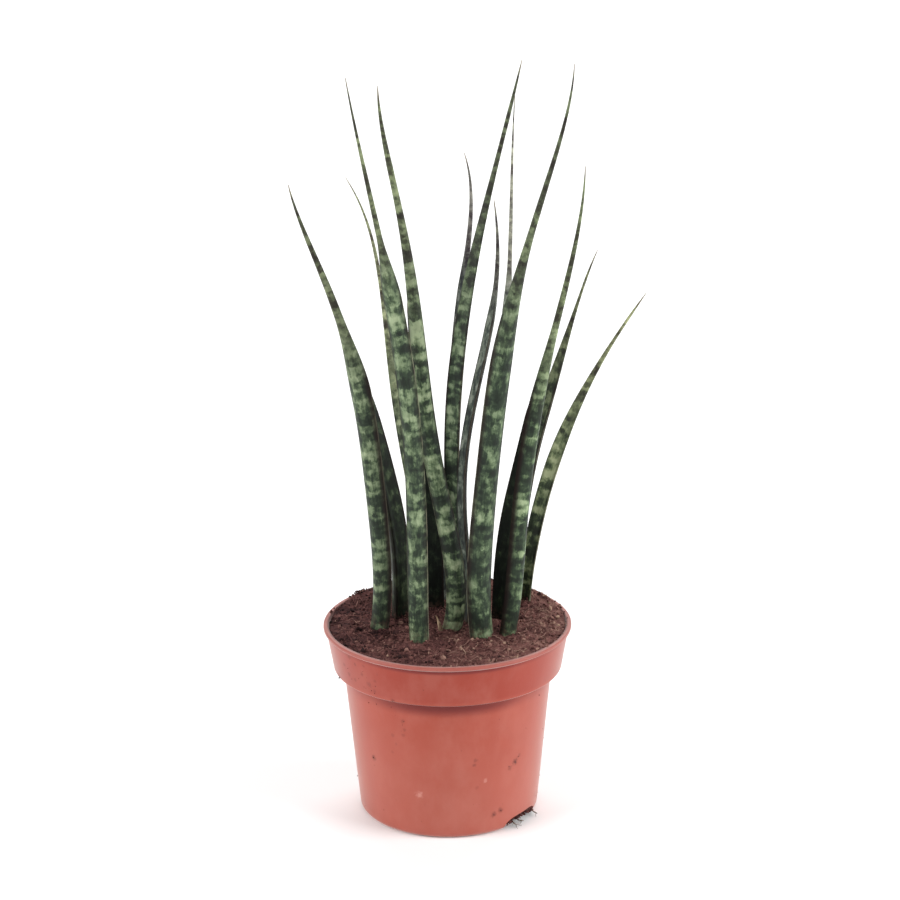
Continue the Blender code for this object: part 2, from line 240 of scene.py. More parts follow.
def rise(tree, value, low, high, start=0.0, stop=1.0):
    """A smooth change from start to stop as value goes from low to high."""
    return wired(tree, "MapRange", {
        "Value": value, "From Min": low, "From Max": high, "To Min": start, "To Max": stop},
        interpolation_type="SMOOTHSTEP").outputs["Result"]


def blend(tree, share, first, second, kind="MIX"):
    """One colour over another: share 0 leaves the first and share 1 gives the second."""
    made = wired(tree, "Mix", data_type="RGBA", blend_type=kind)
    for place, value in ((0, share), (6, first), (7, second)):
        if isinstance(value, bpy.types.NodeSocket):
            tree.links.new(value, made.inputs[place])
        else:
            made.inputs[place].default_value = value if place == 0 else (*value, 1.0)
    return made.outputs[2]


def new_group(name, inputs, outputs):
    """An empty shader group. A plain input value makes a number socket, three a vector and four a
    colour. Outputs called Color are colours and the others numbers."""
    tree = bpy.data.node_groups.new(name, "ShaderNodeTree")
    for socket, value in inputs.items():
        kind = {1: "Float", 3: "Vector", 4: "Color"}[np.size(value)]
        made = tree.interface.new_socket(socket, in_out="INPUT", socket_type="NodeSocket" + kind)
        made.default_value = value
    for socket in outputs:
        kind = "Color" if socket == "Color" else "Float"
        tree.interface.new_socket(socket, in_out="OUTPUT", socket_type="NodeSocket" + kind)
    return tree, tree.nodes.new("NodeGroupInput").outputs, tree.nodes.new("NodeGroupOutput").inputs


def new_finish(name, roughness=0.5, specular=0.5):
    """A material with its Principled shader, as (material, tree, shader inputs)."""
    made = bpy.data.materials.new(name)
    made.use_nodes = True
    inputs = made.node_tree.nodes["Principled BSDF"].inputs
    inputs["Roughness"].default_value = roughness
    inputs["Specular IOR Level"].default_value = specular
    return made, made.node_tree, inputs


def bumped(tree, inputs, height, distance, strength=1.0):
    """Feeds the shader's normal from a height of the given depth in metres."""
    bump = wired(tree, "Bump", {"Height": height, "Distance": distance, "Strength": strength})
    tree.links.new(bump.outputs[0], inputs["Normal"])


def splashed_peat_group():
    """Peat dust that watering has splashed onto a surface: small dots and a thin film, as a mask."""
    tree, given, out = new_group(
        "splashed_peat", {"Place": ORIGIN, "Dots": 0.5, "Film": 0.5}, ["Mask"])
    dots = noise(tree, given["Place"], 520.0, 3.0, 0.6)
    crowd = noise(tree, given["Place"], 45.0, 2.0)
    crowded = times(tree, crowd, times(tree, given["Dots"], 0.5))
    edge = calc(tree, "SUBTRACT", 0.86, crowded)
    specks = rise(tree, calc(tree, "SUBTRACT", dots, edge), 0.0, 0.05)
    dirt_film_and_shade = times(tree, rise(tree, crowd, 0.45, 0.75), given["Film"])
    tree.links.new(calc(tree, "MAXIMUM", specks, dirt_film_and_shade), out["Mask"])
    return tree


splashed_peat = splashed_peat_group()


def smudge_group():
    """One soft, ragged spot about a centre, as a mask: 1 in the middle, 0 past its size."""
    tree, given, out = new_group(
        "smudge", {"Place": ORIGIN, "Ragged": 0.5, "Size": MM, "Centre": ORIGIN}, ["Mask"])
    away = vector_calc(tree, "DISTANCE", given["Place"], given["Centre"], "Value")
    part = calc(tree, "DIVIDE", away, given["Size"])
    rough = calc(tree, "MULTIPLY_ADD", given["Ragged"], 1.6, calc(tree, "ADD", part, -0.8))
    tree.links.new(rise(tree, rough, 0.25, 1.0, 1.0, 0.0), out["Mask"])
    return tree


smudge = smudge_group()


def spotted(tree, place, ragged, spots):
    """The darkest of a list of smudges (angle about the pot, height, size, strength)."""
    mask = 0.0
    for angle, height, size, strength in spots:
        centre = about_axis(wall_radius(height * MM), math.radians(angle), height * MM)
        spot = wired(tree, "Group", {
            "Place": place, "Ragged": ragged, "Size": 0.5 * size * MM, "Centre": centre}, node_tree=smudge)
        mask = calc(tree, "MAXIMUM", mask, times(tree, spot.outputs["Mask"], strength))
    return mask


def wall_radius(height):
    """Radius of the pot's outer wall at a height."""
    body = BODY_BOTTOM_RADIUS + (BODY_TOP_RADIUS - BODY_BOTTOM_RADIUS) * height / COLLAR_BOTTOM
    collar = COLLAR_BOTTOM_RADIUS + COLLAR_TAPER * (height - COLLAR_BOTTOM) / COLLAR_HEIGHT
    return np.where(height > COLLAR_BOTTOM, collar, body)


def pot_finish():
    """Satin terracotta polypropylene: cloudy pigment, a pale dusty bloom on the body, fine level
    scuffs and smudges of peat. A paler pink on the lip is a painted highlight, and a dark red under
    the lip and the collar, darkest at the front, and on the inner edge of the lip is painted shade."""
    made, tree, inputs = new_finish("terracotta_plastic", specular=0.42)
    inputs["Sheen Weight"].default_value = 0.74
    inputs["Sheen Roughness"].default_value = 0.36
    inputs["Sheen Tint"].default_value = SHEEN_PINK
    place = wired(tree, "TexCoord").outputs["Object"]
    height = part_of(tree, place, "Z")
    cloud = noise(tree, place, 38.0, 4.0, 0.55)
    colour = blend(tree, cloud, *PIGMENT)
    on_collar = rise(tree, height, COLLAR_BOTTOM - 0.5 * MM, COLLAR_BOTTOM + 3.0 * MM, 0.0, 0.8)
    colour = blend(tree, on_collar, colour, COLLAR_RED)
    # A paler pink on the lip: a painted highlight.
    painted_lip_highlight = rise(tree, height, POT_HEIGHT - 2.2 * MM, POT_HEIGHT - 1.6 * MM, 0.0, 0.8)
    colour = blend(tree, painted_lip_highlight, colour, LIP_HIGHLIGHT_PINK)

    bloom = noise(tree, place, 70.0, 4.0, 0.6, along=0.6)
    low_on_body = rise(tree, height, COLLAR_BOTTOM - 2.0 * MM, 14.0 * MM)
    dusty = calc(tree, "MULTIPLY_ADD", low_on_body, 0.14, rise(tree, bloom, 0.35, 0.75, 0.0, 0.14))
    colour = blend(tree, dusty, colour, BLOOM_PINK)

    level = noise(tree, place, 160.0, 3.0, 0.7, along=9.0)
    worn = times(tree, rise(tree, level, 0.66, 0.80), rise(tree, bloom, 0.50, 0.66))
    colour = blend(tree, times(tree, worn, 0.30), colour, SCUFF_PINK)
    ragged = noise(tree, place, 700.0, 3.0, 0.6)
    rubbed = spotted(tree, place, ragged, RUBBED_SPOTS)
    colour = blend(tree, rubbed, colour, RUBBED_PINK)

    flat = vector_calc(tree, "MULTIPLY", place, (1.0, 1.0, 0.0))
    from_axis = vector_calc(tree, "LENGTH", flat, output="Value")
    # Painted shade: a dark red under the collar and under the lip for the shadow these ledges cast, darkest
    # at the front.
    below = calc(tree, "SUBTRACT", COLLAR_BOTTOM, height)
    shade_under_collar = times(tree, rise(tree, below, -0.7 * MM, 0.0),
                        rise(tree, below, 3.2 * MM, 9.0 * MM, 0.92, 0.0))
    below_lip = calc(tree, "SUBTRACT", POT_HEIGHT - LIP_HEIGHT, height)
    shade_under_lip = times(tree, rise(tree, below_lip, -0.2 * MM, 0.3 * MM),
                     rise(tree, below_lip, 1.3 * MM, 2.8 * MM, 0.88, 0.0))
    to_front = calc(tree, "DIVIDE", part_of(tree, place, "Y"), from_axis)
    thickness = rise(tree, to_front, -1.0, -0.66, 1.0, 0.40)
    dirt_film_and_shade = times(tree, calc(tree, "MAXIMUM", shade_under_collar, shade_under_lip), thickness)
    colour = blend(tree, dirt_film_and_shade, colour, PAINTED_SHADE_RED)
    # Painted shade on the inner edge of the lip; the splashed peat and the smudges mixed in with it below are
    # real dirt.
    inner_lip = rise(tree, from_axis, RIM_RADIUS - 2.3 * MM, RIM_RADIUS - 1.3 * MM, 0.85, 0.0)
    at_top = rise(tree, height, POT_HEIGHT - 1.2 * MM, POT_HEIGHT - 0.2 * MM)
    inner_lip_shade = times(tree, inner_lip, at_top)
    splash = wired(tree, "Group", {"Place": place, "Dots": 0.42, "Film": 0.06}, node_tree=splashed_peat)
    peat_and_shade = calc(tree, "MAXIMUM", inner_lip_shade, times(tree, splash.outputs["Mask"], 0.6))
    peat_and_shade = calc(tree, "MAXIMUM", peat_and_shade, spotted(tree, place, ragged, PEAT_SMUDGES))
    colour = blend(tree, peat_and_shade, colour, WET_PEAT_AND_SHADE)

    tree.links.new(colour, inputs["Base Color"])
    shine = calc(tree, "MULTIPLY_ADD", bloom, 0.16, calc(tree, "MULTIPLY_ADD", dusty, 0.5, 0.34))
    tree.links.new(calc(tree, "MULTIPLY_ADD", peat_and_shade, 0.35, shine), inputs["Roughness"])
    peel = noise(tree, place, 900.0, 2.0)
    bumped(tree, inputs, calc(tree, "MULTIPLY_ADD", level, 0.5, peel), 0.03 * MM, 0.6)
    return made


def pot_inside(clearance):
    """(radius, height) points up the pot's inner wall from the floor, moved in by a clearance."""
    foot = (BODY_BOTTOM_RADIUS - WALL - clearance, FLOOR_TOP + clearance)
    return np.vstack([
        arc((foot[0] - FLOOR_CORNER, foot[1] + FLOOR_CORNER), FLOOR_CORNER, -90.0, 0.0),
        (BODY_TOP_RADIUS - WALL - clearance, LEDGE - 2.0 * COLLAR_ROUND + clearance),
        (COLLAR_BOTTOM_RADIUS - WALL - clearance, LEDGE + clearance),
        (COLLAR_TOP_RADIUS - WALL - clearance, POT_HEIGHT - LIP_HEIGHT),
    ])


def pot_outline():
    """The pot's section from the middle of its underside, up its outer side and down its inside."""
    foot_inner = BODY_BOTTOM_RADIUS - EDGE_ROUND - FOOT_WIDTH
    lip_bottom = POT_HEIGHT - LIP_HEIGHT
    return refined([
        (0.5 * MM, 0.0),
        (PAD_RADIUS, 0.0),
        (PAD_RADIUS + FOOT_SLOPE, FOOT_RECESS),
        (foot_inner - FOOT_SLOPE, FOOT_RECESS),
        (foot_inner, 0.0),
        arc((BODY_BOTTOM_RADIUS - EDGE_ROUND, EDGE_ROUND), EDGE_ROUND, -90.0, 0.0),
        (BODY_TOP_RADIUS, COLLAR_BOTTOM - COLLAR_ROUND),
        arc((BODY_TOP_RADIUS + COLLAR_ROUND, COLLAR_BOTTOM - COLLAR_ROUND), COLLAR_ROUND, 180.0, 90.0),
        arc((COLLAR_BOTTOM_RADIUS - COLLAR_ROUND, COLLAR_BOTTOM + COLLAR_ROUND), COLLAR_ROUND, -90.0, 0.0),
        (COLLAR_TOP_RADIUS, lip_bottom - LIP_ROUND),
        arc((RIM_RADIUS - LIP_ROUND, lip_bottom + LIP_ROUND), LIP_ROUND, -90.0, 0.0),
        arc((RIM_RADIUS - LIP_ROUND, POT_HEIGHT - LIP_ROUND), LIP_ROUND, 0.0, 90.0),
        arc((COLLAR_TOP_RADIUS - WALL + LIP_ROUND, POT_HEIGHT - LIP_ROUND), LIP_ROUND, 90.0, 180.0),
        pot_inside(0.0)[::-1],
        (0.5 * MM, FLOOR_TOP),
    ], POT_STEP)


def pot_cutters():
    """Round bars for the drain holes and arched wedges for the notches, as closed rings.

    A wedge's height at the part p of its half angle is the end height plus the square root of
    1 - |p| cubed, times the rest of the notch's height.
    """
    ends = np.array([-CUTTER_EXTRA, FLOOR_TOP + CUTTER_EXTRA])[:, None]
    angles = whole_turn(DRAIN_HOLES) + math.pi / DRAIN_HOLES + NOTCH_DIRECTIONS[0]
    middles = about_axis(DRAIN_HOLE_CIRCLE, angles, 0.0)[:, None, None]
    bars = middles + about_axis(DRAIN_HOLE_RADIUS, whole_turn(24), ends)

    part = np.linspace(-1.0, 1.0, 33)
    arch = np.sqrt(np.clip(1.0 - np.abs(part) ** 3.0, 0.0, 1.0))
    top = NOTCH_END_HEIGHT + (NOTCH_HEIGHT - NOTCH_END_HEIGHT) * arch
    turn = np.array(NOTCH_DIRECTIONS)[:, None] + NOTCH_HALF_ANGLE * part
    inner, outer = BODY_BOTTOM_RADIUS - NOTCH_DEPTH, BODY_BOTTOM_RADIUS + CUTTER_EXTRA
    wedges = about_axis(np.array([inner, inner, outer, outer]), turn[..., None], -CUTTER_EXTRA)
    wedges[..., [1, 2], 2] = top[:, None]
    return bars, wedges


def cut_away(piece, cutters):
    """Takes closed rings away from a piece and leaves it with the cut mesh and no modifier."""
    for index, rings in enumerate(cutters):
        cutter = plain_object(f"cutter_{index}", *closed_rings(rings))
        cut = piece.modifiers.new("cut", "BOOLEAN")
        cut.operation = "DIFFERENCE"
        cut.solver = "EXACT"
        cut.object = cutter
        seen = piece.evaluated_get(bpy.context.evaluated_depsgraph_get())
        whole = bpy.data.meshes.new_from_object(seen)
        piece.modifiers.remove(cut)
        piece.data = whole
        bpy.data.objects.remove(cutter)


pot = plain_object("nursery_pot", *closed_rings(turned(pot_outline(), POT_TURNS)))
cut_away(pot, pot_cutters())
finish_piece(pot, pot_finish(), "terracotta_plastic", "pot")

# ---------------------------------------------------------------------------------- The peat
# Potting peat, one root ball that fills the pot from floor to rim. It is a mat of crumbs and
# fibres, heaped a little round the leaf feet and up over the rim at the back and on the right.
PEAT_GAP = 0.3 * MM
PEAT_BELOW_RIM = 1.6 * MM
PEAT_CROWN = 2.4 * MM
PEAT_HEAP = 0.9 * MM
PEAT_HEAP_REACH = 8.0 * MM
PEAT_EDGE_ROUND = 0.6 * MM
PEAT_TURNS = 360
PEAT_TOP_STEP = 0.42 * MM
PEAT_RADIUS = COLLAR_TOP_RADIUS - WALL - PEAT_GAP
LEAF_NAMES = sorted(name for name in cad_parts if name.startswith("leaf_"))
CRUMBS = 4600
LITTER = 2400
CLUMP_DIRECTION = math.radians(139.0)
PEAT_TONES = (
    (0.12, (0.022, 0.010, 0.010)), (0.36, (0.079, 0.031, 0.029)), (0.60, (0.168, 0.074, 0.064)),
    (0.80, (0.27, 0.150, 0.120)), (1.0, (0.40, 0.26, 0.19)))


def leaf_foot(name):
    """The middle of a leaf's foot: the mean of its frame vertices that are under the soil."""
    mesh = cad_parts[name].data
    places = np.zeros(3 * len(mesh.vertices))
    mesh.vertices.foreach_get("co", places)
    places = places.reshape(-1, 3)
    return places[places[:, 2] < POT_HEIGHT - 0.5 * MM, :2].mean(axis=0)


LEAF_FEET = np.array([leaf_foot(name) for name in LEAF_NAMES])


def lumps(x, y, cell, seed):
    """Value noise from -1 to 1: random numbers on a grid of the given cell, smoothly joined."""
    table = np.random.default_rng(seed).uniform(-1.0, 1.0, (64, 64))
    column, row = np.floor(x / cell), np.floor(y / cell)
    across, along = x / cell - column, y / cell - row
    across, along = across * across * (3.0 - 2.0 * across), along * along * (3.0 - 2.0 * along)
    i, j = column.astype(int) % 64, row.astype(int) % 64
    k, m = (i + 1) % 64, (j + 1) % 64
    near = table[i, j] * (1.0 - across) + table[k, j] * across
    far = table[i, m] * (1.0 - across) + table[k, m] * across
    return near * (1.0 - along) + far * along


def peat_height(x, y):
    """Height of the peat: a low crown, heaps at the leaf feet and against the back and right of
    the rim, and three sizes of lumps."""
    part = np.hypot(x, y) / RIM_RADIUS
    height = POT_HEIGHT - PEAT_BELOW_RIM + PEAT_CROWN * (1.0 - part ** 2)
    for foot in LEAF_FEET:
        away = np.hypot(x - foot[0], y - foot[1]) / PEAT_HEAP_REACH
        height = height + PEAT_HEAP * np.exp(-away ** 2) * (1.0 - part ** 4)
    behind = np.clip(1.6 * (0.12 * x + y) / RIM_RADIUS, 0.0, 1.0)
    height = height + 4.2 * MM * behind * part ** 4
    fade = np.clip((1.0 - part) / 0.12, 0.25, 1.0)
    rough = (0.9 * lumps(x, y, 7.0 * MM, 11) + 0.75 * lumps(x, y, 2.7 * MM, 12)
             + 0.45 * lumps(x, y, 1.1 * MM, 13))
    return height + 0.75 * MM * fade * rough


def peat_rings():
    """Rings of the root ball: up the pot's wall and in over the top, which takes its height."""
    wall = pot_inside(PEAT_GAP)
    rim = POT_HEIGHT - PEAT_BELOW_RIM
    edge = np.array([(PEAT_RADIUS, rim - PEAT_EDGE_ROUND), (PEAT_RADIUS - 0.3 * PEAT_EDGE_ROUND, rim)])
    side = refined([(0.5 * MM, wall[0, 1]), wall[:-1], edge], 4.0 * MM)
    top_radii = np.arange(PEAT_RADIUS - PEAT_EDGE_ROUND, 0.5 * MM, -PEAT_TOP_STEP)
    outline = np.vstack([side, np.column_stack([top_radii, np.full(len(top_radii), rim)])])
    rings = turned(outline, PEAT_TURNS)
    top = rings[:, len(side) - 1:]
    top[..., 2] = peat_height(top[..., 0], top[..., 1])
    return rings


def marked(piece, name, values):
    """Stores a number or a vector for each vertex under a name that the material reads."""
    kind = "FLOAT_VECTOR" if values.ndim == 2 else "FLOAT"
    layer = piece.data.attributes.new(name, kind, "POINT")
    layer.data.foreach_set("vector" if values.ndim == 2 else "value", values.astype(np.float32).ravel())


def read_mark(tree, name, output="Fac"):
    """The number or vector stored on the piece under a name."""
    return wired(tree, "Attribute", attribute_name=name).outputs[output]


def toned(tree, value, tones):
    """The colour at a value on a ramp of (position, colour) tones, lowest first."""
    ramp = wired(tree, "ValToRGB", {"Fac": value})
    stops = ramp.color_ramp.elements
    stops[0].position, stops[1].position = tones[0][0], tones[-1][0]
    for position, _ in tones[1:-1]:
        stops.new(position)
    for stop, (_, tone) in zip(stops, tones):
        stop.color = (*tone, 1.0)
    return ramp.outputs["Color"]


def peat_tone_group():
    """Peat colour from near-black through red-brown to tan fibre, paler towards the right as painted
    light, and the height of its grain."""
    tree, given, out = new_group(
        "peat_tone", {"Place": ORIGIN, "Shade": 0.5, "Grain": 1.0}, ["Color", "Height"])
    place = given["Place"]
    coarse = noise(tree, place, 330.0, 4.0, 0.65)
    fine = noise(tree, place, 1900.0, 3.0, 0.6)
    mixed = calc(tree, "ADD", calc(tree, "MULTIPLY_ADD", coarse, 1.1, -0.55),
                 calc(tree, "MULTIPLY_ADD", fine, 0.5, -0.25))
    patchy = calc(tree, "ADD", noise(tree, place, 75.0, 3.0, 0.6), -0.5)
    # Paler towards the right: painted light.
    paler_right_painted_light = calc(tree, "MULTIPLY_ADD", part_of(tree, place, "X"), 2.6, given["Shade"])
    value = calc(tree, "MULTIPLY_ADD", mixed, given["Grain"], calc(tree, "MULTIPLY_ADD", patchy, 0.5, paler_right_painted_light))
    tree.links.new(toned(tree, value, PEAT_TONES), out["Color"])
    tree.links.new(calc(tree, "MULTIPLY_ADD", fine, 0.5, coarse), out["Height"])
    return tree


peat_tone = peat_tone_group()


def peat_finish(name, grain, shade=None):
    """Dull peat. Loose pieces take their shade from their own mark, and the bed from noise."""
    made, tree, inputs = new_finish(name, roughness=0.93, specular=0.15)
    place = wired(tree, "TexCoord").outputs["Object"]
    if shade is None:
        shade = read_mark(tree, "shade")
    tone = wired(tree, "Group", {"Place": place, "Shade": shade, "Grain": grain}, node_tree=peat_tone)
    tree.links.new(tone.outputs["Color"], inputs["Base Color"])
    bumped(tree, inputs, tone.outputs["Height"], 0.35 * MM, 0.9)
    return made


peat = plain_object("peat_root_ball", *closed_rings(peat_rings()))
finish_piece(peat, peat_finish("packed_peat", 1.0, shade=0.46), "soil", "soil", sharp=75.0)


def turned_at_random(points, count, rng):
    """count copies of points, each turned by its own random rotation (a random unit quaternion)."""
    q = rng.normal(size=(count, 4))
    w, x, y, z = (q / np.linalg.norm(q, axis=1)[:, None]).T
    turn = np.array([
        [1 - 2 * (y * y + z * z), 2 * (x * y - z * w), 2 * (x * z + y * w)],
        [2 * (x * y + z * w), 1 - 2 * (x * x + z * z), 2 * (y * z - x * w)],
        [2 * (x * z - y * w), 2 * (y * z + x * w), 1 - 2 * (x * x + y * y)]]).transpose(2, 0, 1)
    return np.einsum("nij,nkj->nki", turn, points)


def crumb_lumps(centres, sizes, rng, flat=0.62):
    """Lumps of twenty faces: a ball of twelve corners, each corner pulled in or out at random,
    flattened along a random way and put at its centre at its size."""
    ball = bmesh.new()
    bmesh.ops.create_icosphere(ball, subdivisions=1, radius=1.0)
    corners = np.array([v.co[:] for v in ball.verts])
    faces = np.array([[v.index for v in f.verts] for f in ball.faces])
    ball.free()
    count = len(centres)
    shapes = corners * rng.uniform(0.62, 1.25, (count, len(corners), 1))
    shapes *= np.array([1.0, 0.8, flat]) * rng.uniform(0.75, 1.25, (count, 1, 3))
    shapes = turned_at_random(shapes, count, rng) * 0.5 * sizes[:, None, None] + centres[:, None, :]
    offset = (np.arange(count) * len(corners))[:, None, None]
    return shapes.reshape(-1, 3), [(faces + offset).reshape(-1, 3)], len(corners)


def scattered(count, rng, reach):
    """Random places spread evenly over the disc of the peat."""
    radius = reach * np.sqrt(rng.uniform(0.0, 1.0, count))
    angle = rng.uniform(0.0, 2.0 * math.pi, count)
    return radius * np.cos(angle), radius * np.sin(angle)


def build_crumbs():
    """Loose crumbs, from dust to lumps of 3 mm: most over the top of the peat, some lying on the
    rim at the back and right, a clump of them at the back left, and the rest in the front notch, darkened
    there as painted shade."""
    rng = np.random.default_rng(21)
    x, y = scattered(CRUMBS, rng, PEAT_RADIUS - 0.4 * MM)
    size = MM * np.clip(0.68 * rng.lognormal(0.25, 0.55, CRUMBS), 0.45, 3.4)
    top = np.column_stack([x, y, peat_height(x, y) + size * rng.uniform(-0.12, 0.34, CRUMBS)])

    on_rim = 260
    angle = np.radians(rng.normal(80.0, 42.0, on_rim))
    radius = RIM_RADIUS - rng.uniform(1.1, 4.2, on_rim) * MM
    rim_size = MM * rng.uniform(0.5, 1.6, on_rim)
    rim_height = POT_HEIGHT + rim_size * rng.uniform(0.1, 0.5, on_rim)
    rim = about_axis(radius, angle, rim_height)

    in_clump = 55
    angle = CLUMP_DIRECTION + rng.normal(0.0, 0.045, in_clump)
    radius = RIM_RADIUS - rng.uniform(0.6, 4.5, in_clump) * MM
    clump_size = MM * rng.uniform(0.6, 1.8, in_clump)
    clump_height = POT_HEIGHT + rng.uniform(0.1, 2.4, in_clump) * MM
    clump = about_axis(radius, angle, clump_height)

    in_notch = 260
    angle = NOTCH_DIRECTIONS[0] + NOTCH_HALF_ANGLE * rng.uniform(-0.8, 0.95, in_notch)
    inward = 0.3 + 6.0 * rng.uniform(0.0, 1.0, in_notch) ** 1.5
    radius = BODY_BOTTOM_RADIUS - inward * MM
    notch_size = MM * rng.uniform(0.6, 1.7, in_notch)
    arch = np.sqrt(1.0 - np.abs((angle - NOTCH_DIRECTIONS[0]) / NOTCH_HALF_ANGLE) ** 3.0)
    notch_height = rng.uniform(0.46, 0.95, in_notch) * (NOTCH_HEIGHT * arch - 0.4 * notch_size)
    notch = about_axis(radius, angle, notch_height)

    centres = np.concatenate([top, rim, clump, notch])
    sizes = np.concatenate([size, rim_size, clump_size, notch_size])
    vertices, faces, corners = crumb_lumps(centres, sizes, rng)
    crumbs = plain_object("peat_crumbs", vertices, faces)
    shade = np.clip(rng.normal(0.49, 0.19, len(centres)), 0.08, 0.95)
    # The crumbs in the notch are darkened as painted shade.
    shade[-in_notch:] *= 0.5
    marked(crumbs, "shade", np.repeat(shade, corners))
    finish_piece(crumbs, peat_finish("crumbled_peat", 0.6), "soil", sharp=50.0)


def bent_strips(starts, heading, length, bend, lift, width, points=9, sides=4):
    """Thin closed strips that lie along circular arcs.

    A strip's heading turns by bend from one end to the other. Its height above its start
    follows a sine arch of the height lift, and its width narrows to a third at its ends.
    """
    t = np.linspace(0.0, 1.0, points)
    angle = heading[:, None] + bend[:, None] * (t - 0.5)
    step = (length / (points - 1))[:, None]
    x = starts[:, :1] + step * np.cumsum(np.cos(angle), axis=1)
    y = starts[:, 1:2] + step * np.cumsum(np.sin(angle), axis=1)
    z = peat_height(x, y) + starts[:, 2:3] + lift[:, None] * np.sin(math.pi * t)
    path = np.stack([x, y, z], axis=-1)
    size = 0.5 * width[:, None] * (0.35 + 0.65 * np.sin(math.pi * t) ** 0.5)
    turn = whole_turn(sides)
    sideways = np.stack([-np.sin(angle), np.cos(angle), 0.0 * angle], axis=-1)
    up = np.array([0.0, 0.0, 1.0])
    ring = np.cos(turn)[:, None] * sideways[:, :, None, :] + 0.6 * np.sin(turn)[:, None] * up
    return path[:, :, None, :] + size[:, :, None, None] * ring


def build_fibres():
    """Fibres of peat and coir on top: most short and dark, some tan, a few long and lifted."""
    rng = np.random.default_rng(22)
    x, y = scattered(LITTER, rng, PEAT_RADIUS - 5.0 * MM)
    length = MM * np.clip(rng.lognormal(1.35, 0.5, LITTER), 1.8, 13.0)
    heading = rng.uniform(0.0, 2.0 * math.pi, LITTER)
    starts = np.column_stack([x, y, MM * rng.uniform(-0.1, 0.5, LITTER)])
    rings = bent_strips(starts, heading, length, rng.normal(0.0, 0.9, LITTER),
                        0.12 * length * rng.uniform(0.0, 1.0, LITTER), MM * rng.uniform(0.16, 0.5, LITTER))
    inside = np.hypot(rings[..., 0], rings[..., 1]).max(axis=(1, 2)) < RIM_RADIUS - 0.8 * MM
    rings = rings[inside]
    fibres = plain_object("peat_fibres", *closed_rings(rings))
    shade = np.clip(rng.normal(0.48, 0.18, len(rings)), 0.12, 0.90)
    marked(fibres, "shade", np.repeat(shade, rings.shape[1] * rings.shape[2] + 2))
    finish_piece(fibres, peat_finish("peat_fibre", 0.25), "soil", sharp=80.0)


build_crumbs()
build_fibres()

# ------------------------------------------------------------------------- Dirt on the pot
# Crumbs of wet peat that have dried onto the pot's outside, as flat lumps half sunk in the film
# of dirt. Each is (angle about the pot, height above the ground, size), in degrees and mm.
STUCK_CRUMBS = (
    (-140, 37.0, 1.0), (-47, 36.0, 1.1), (-45, 38.2, 0.8), (-52, 34.8, 0.7), (-115, 62.0, 0.6),
    (-61, 10.5, 0.8), (-56, 11.8, 0.9), (-138, 89.0, 0.7), (-134, 86.2, 0.7), (-130, 77.0, 0.8),
    (-138, 81.2, 0.6), (-160, 73.8, 1.5), (-158, 72.6, 1.1), (-118, 74.0, 1.0), (-29, 66.2, 0.8),
    (-142, 90.6, 0.6), (-146, 84.0, 0.7), (-144, 79.0, 0.6), (-132, 83.4, 0.5), (-127, 80.2, 0.6),
    (-126, 86.0, 0.4), (-149, 88.0, 0.5), (-135, 77.6, 0.5), (-116, 60.0, 0.5), (-117, 56.6, 0.4),
)
STUCK_DUST = 90


def build_stuck_crumbs():
    """The placed crumbs and a random dusting of small ones, thickest below the collar."""
    rng = np.random.default_rng(23)
    placed = np.array(STUCK_CRUMBS, dtype=float)
    angle = np.radians(np.concatenate([placed[:, 0], rng.uniform(-180.0, 180.0, STUCK_DUST)]))
    height = MM * np.concatenate([placed[:, 1], rng.uniform(3.0, 88.0, STUCK_DUST)])
    size = MM * np.concatenate([placed[:, 2], 0.22 + 0.5 * rng.uniform(0.0, 1.0, STUCK_DUST) ** 3])
    centres = about_axis(wall_radius(height) + 0.06 * size, angle, height)
    vertices, faces, corners = crumb_lumps(centres, size, rng, flat=0.5)
    crumbs = plain_object("stuck_crumbs", vertices, faces)
    marked(crumbs, "shade", np.repeat(np.clip(rng.normal(0.42, 0.08, len(size)), 0.2, 0.7), corners))
    finish_piece(crumbs, peat_finish("stuck_peat", 0.4), "soil", sharp=50.0)


build_stuck_crumbs()

# ---------------------------------------------------------------------------- Roots below
# Three dead root ends that have grown out of the root ball through the front notch, with finer
# side roots. Each is its swing from the notch's middle in radians, its reach in mm, its curl in
# radians and its sag in mm.
DRAIN_ROOTS = {
    "drain_root_left": (-0.19, 7.5, 0.05, 2.4),
    "drain_root_middle": (0.02, 6.0, -0.07, 2.0),
    "drain_root_right": (0.16, 8.5, 0.06, 1.6),
}
ROOT_RADIUS = 0.5 * MM
ROOT_POINTS = 28
ROOT_SIDES = 10
SIDE_ROOTS = 5
SIDE_ROOT_SIDES = 5
SIDE_ROOT_POINTS = 9
BARK = (0.045, 0.026, 0.020), (0.30, 0.205, 0.15)


def root_rings(path, thickness, sides):
    """Rings about each path: round sections square to it, of the given radius at each point."""
    along = np.gradient(path, axis=1)
    along /= np.linalg.norm(along, axis=-1, keepdims=True)
    sideways = np.cross([0.0, 0.0, 1.0], along)
    sideways /= np.linalg.norm(sideways, axis=-1, keepdims=True)
    over = np.cross(along, sideways)
    turn = whole_turn(sides)
    ring = np.cos(turn)[:, None] * sideways[:, :, None] + np.sin(turn)[:, None] * over[:, :, None]
    return path[:, :, None, :] + thickness[:, :, None, None] * ring


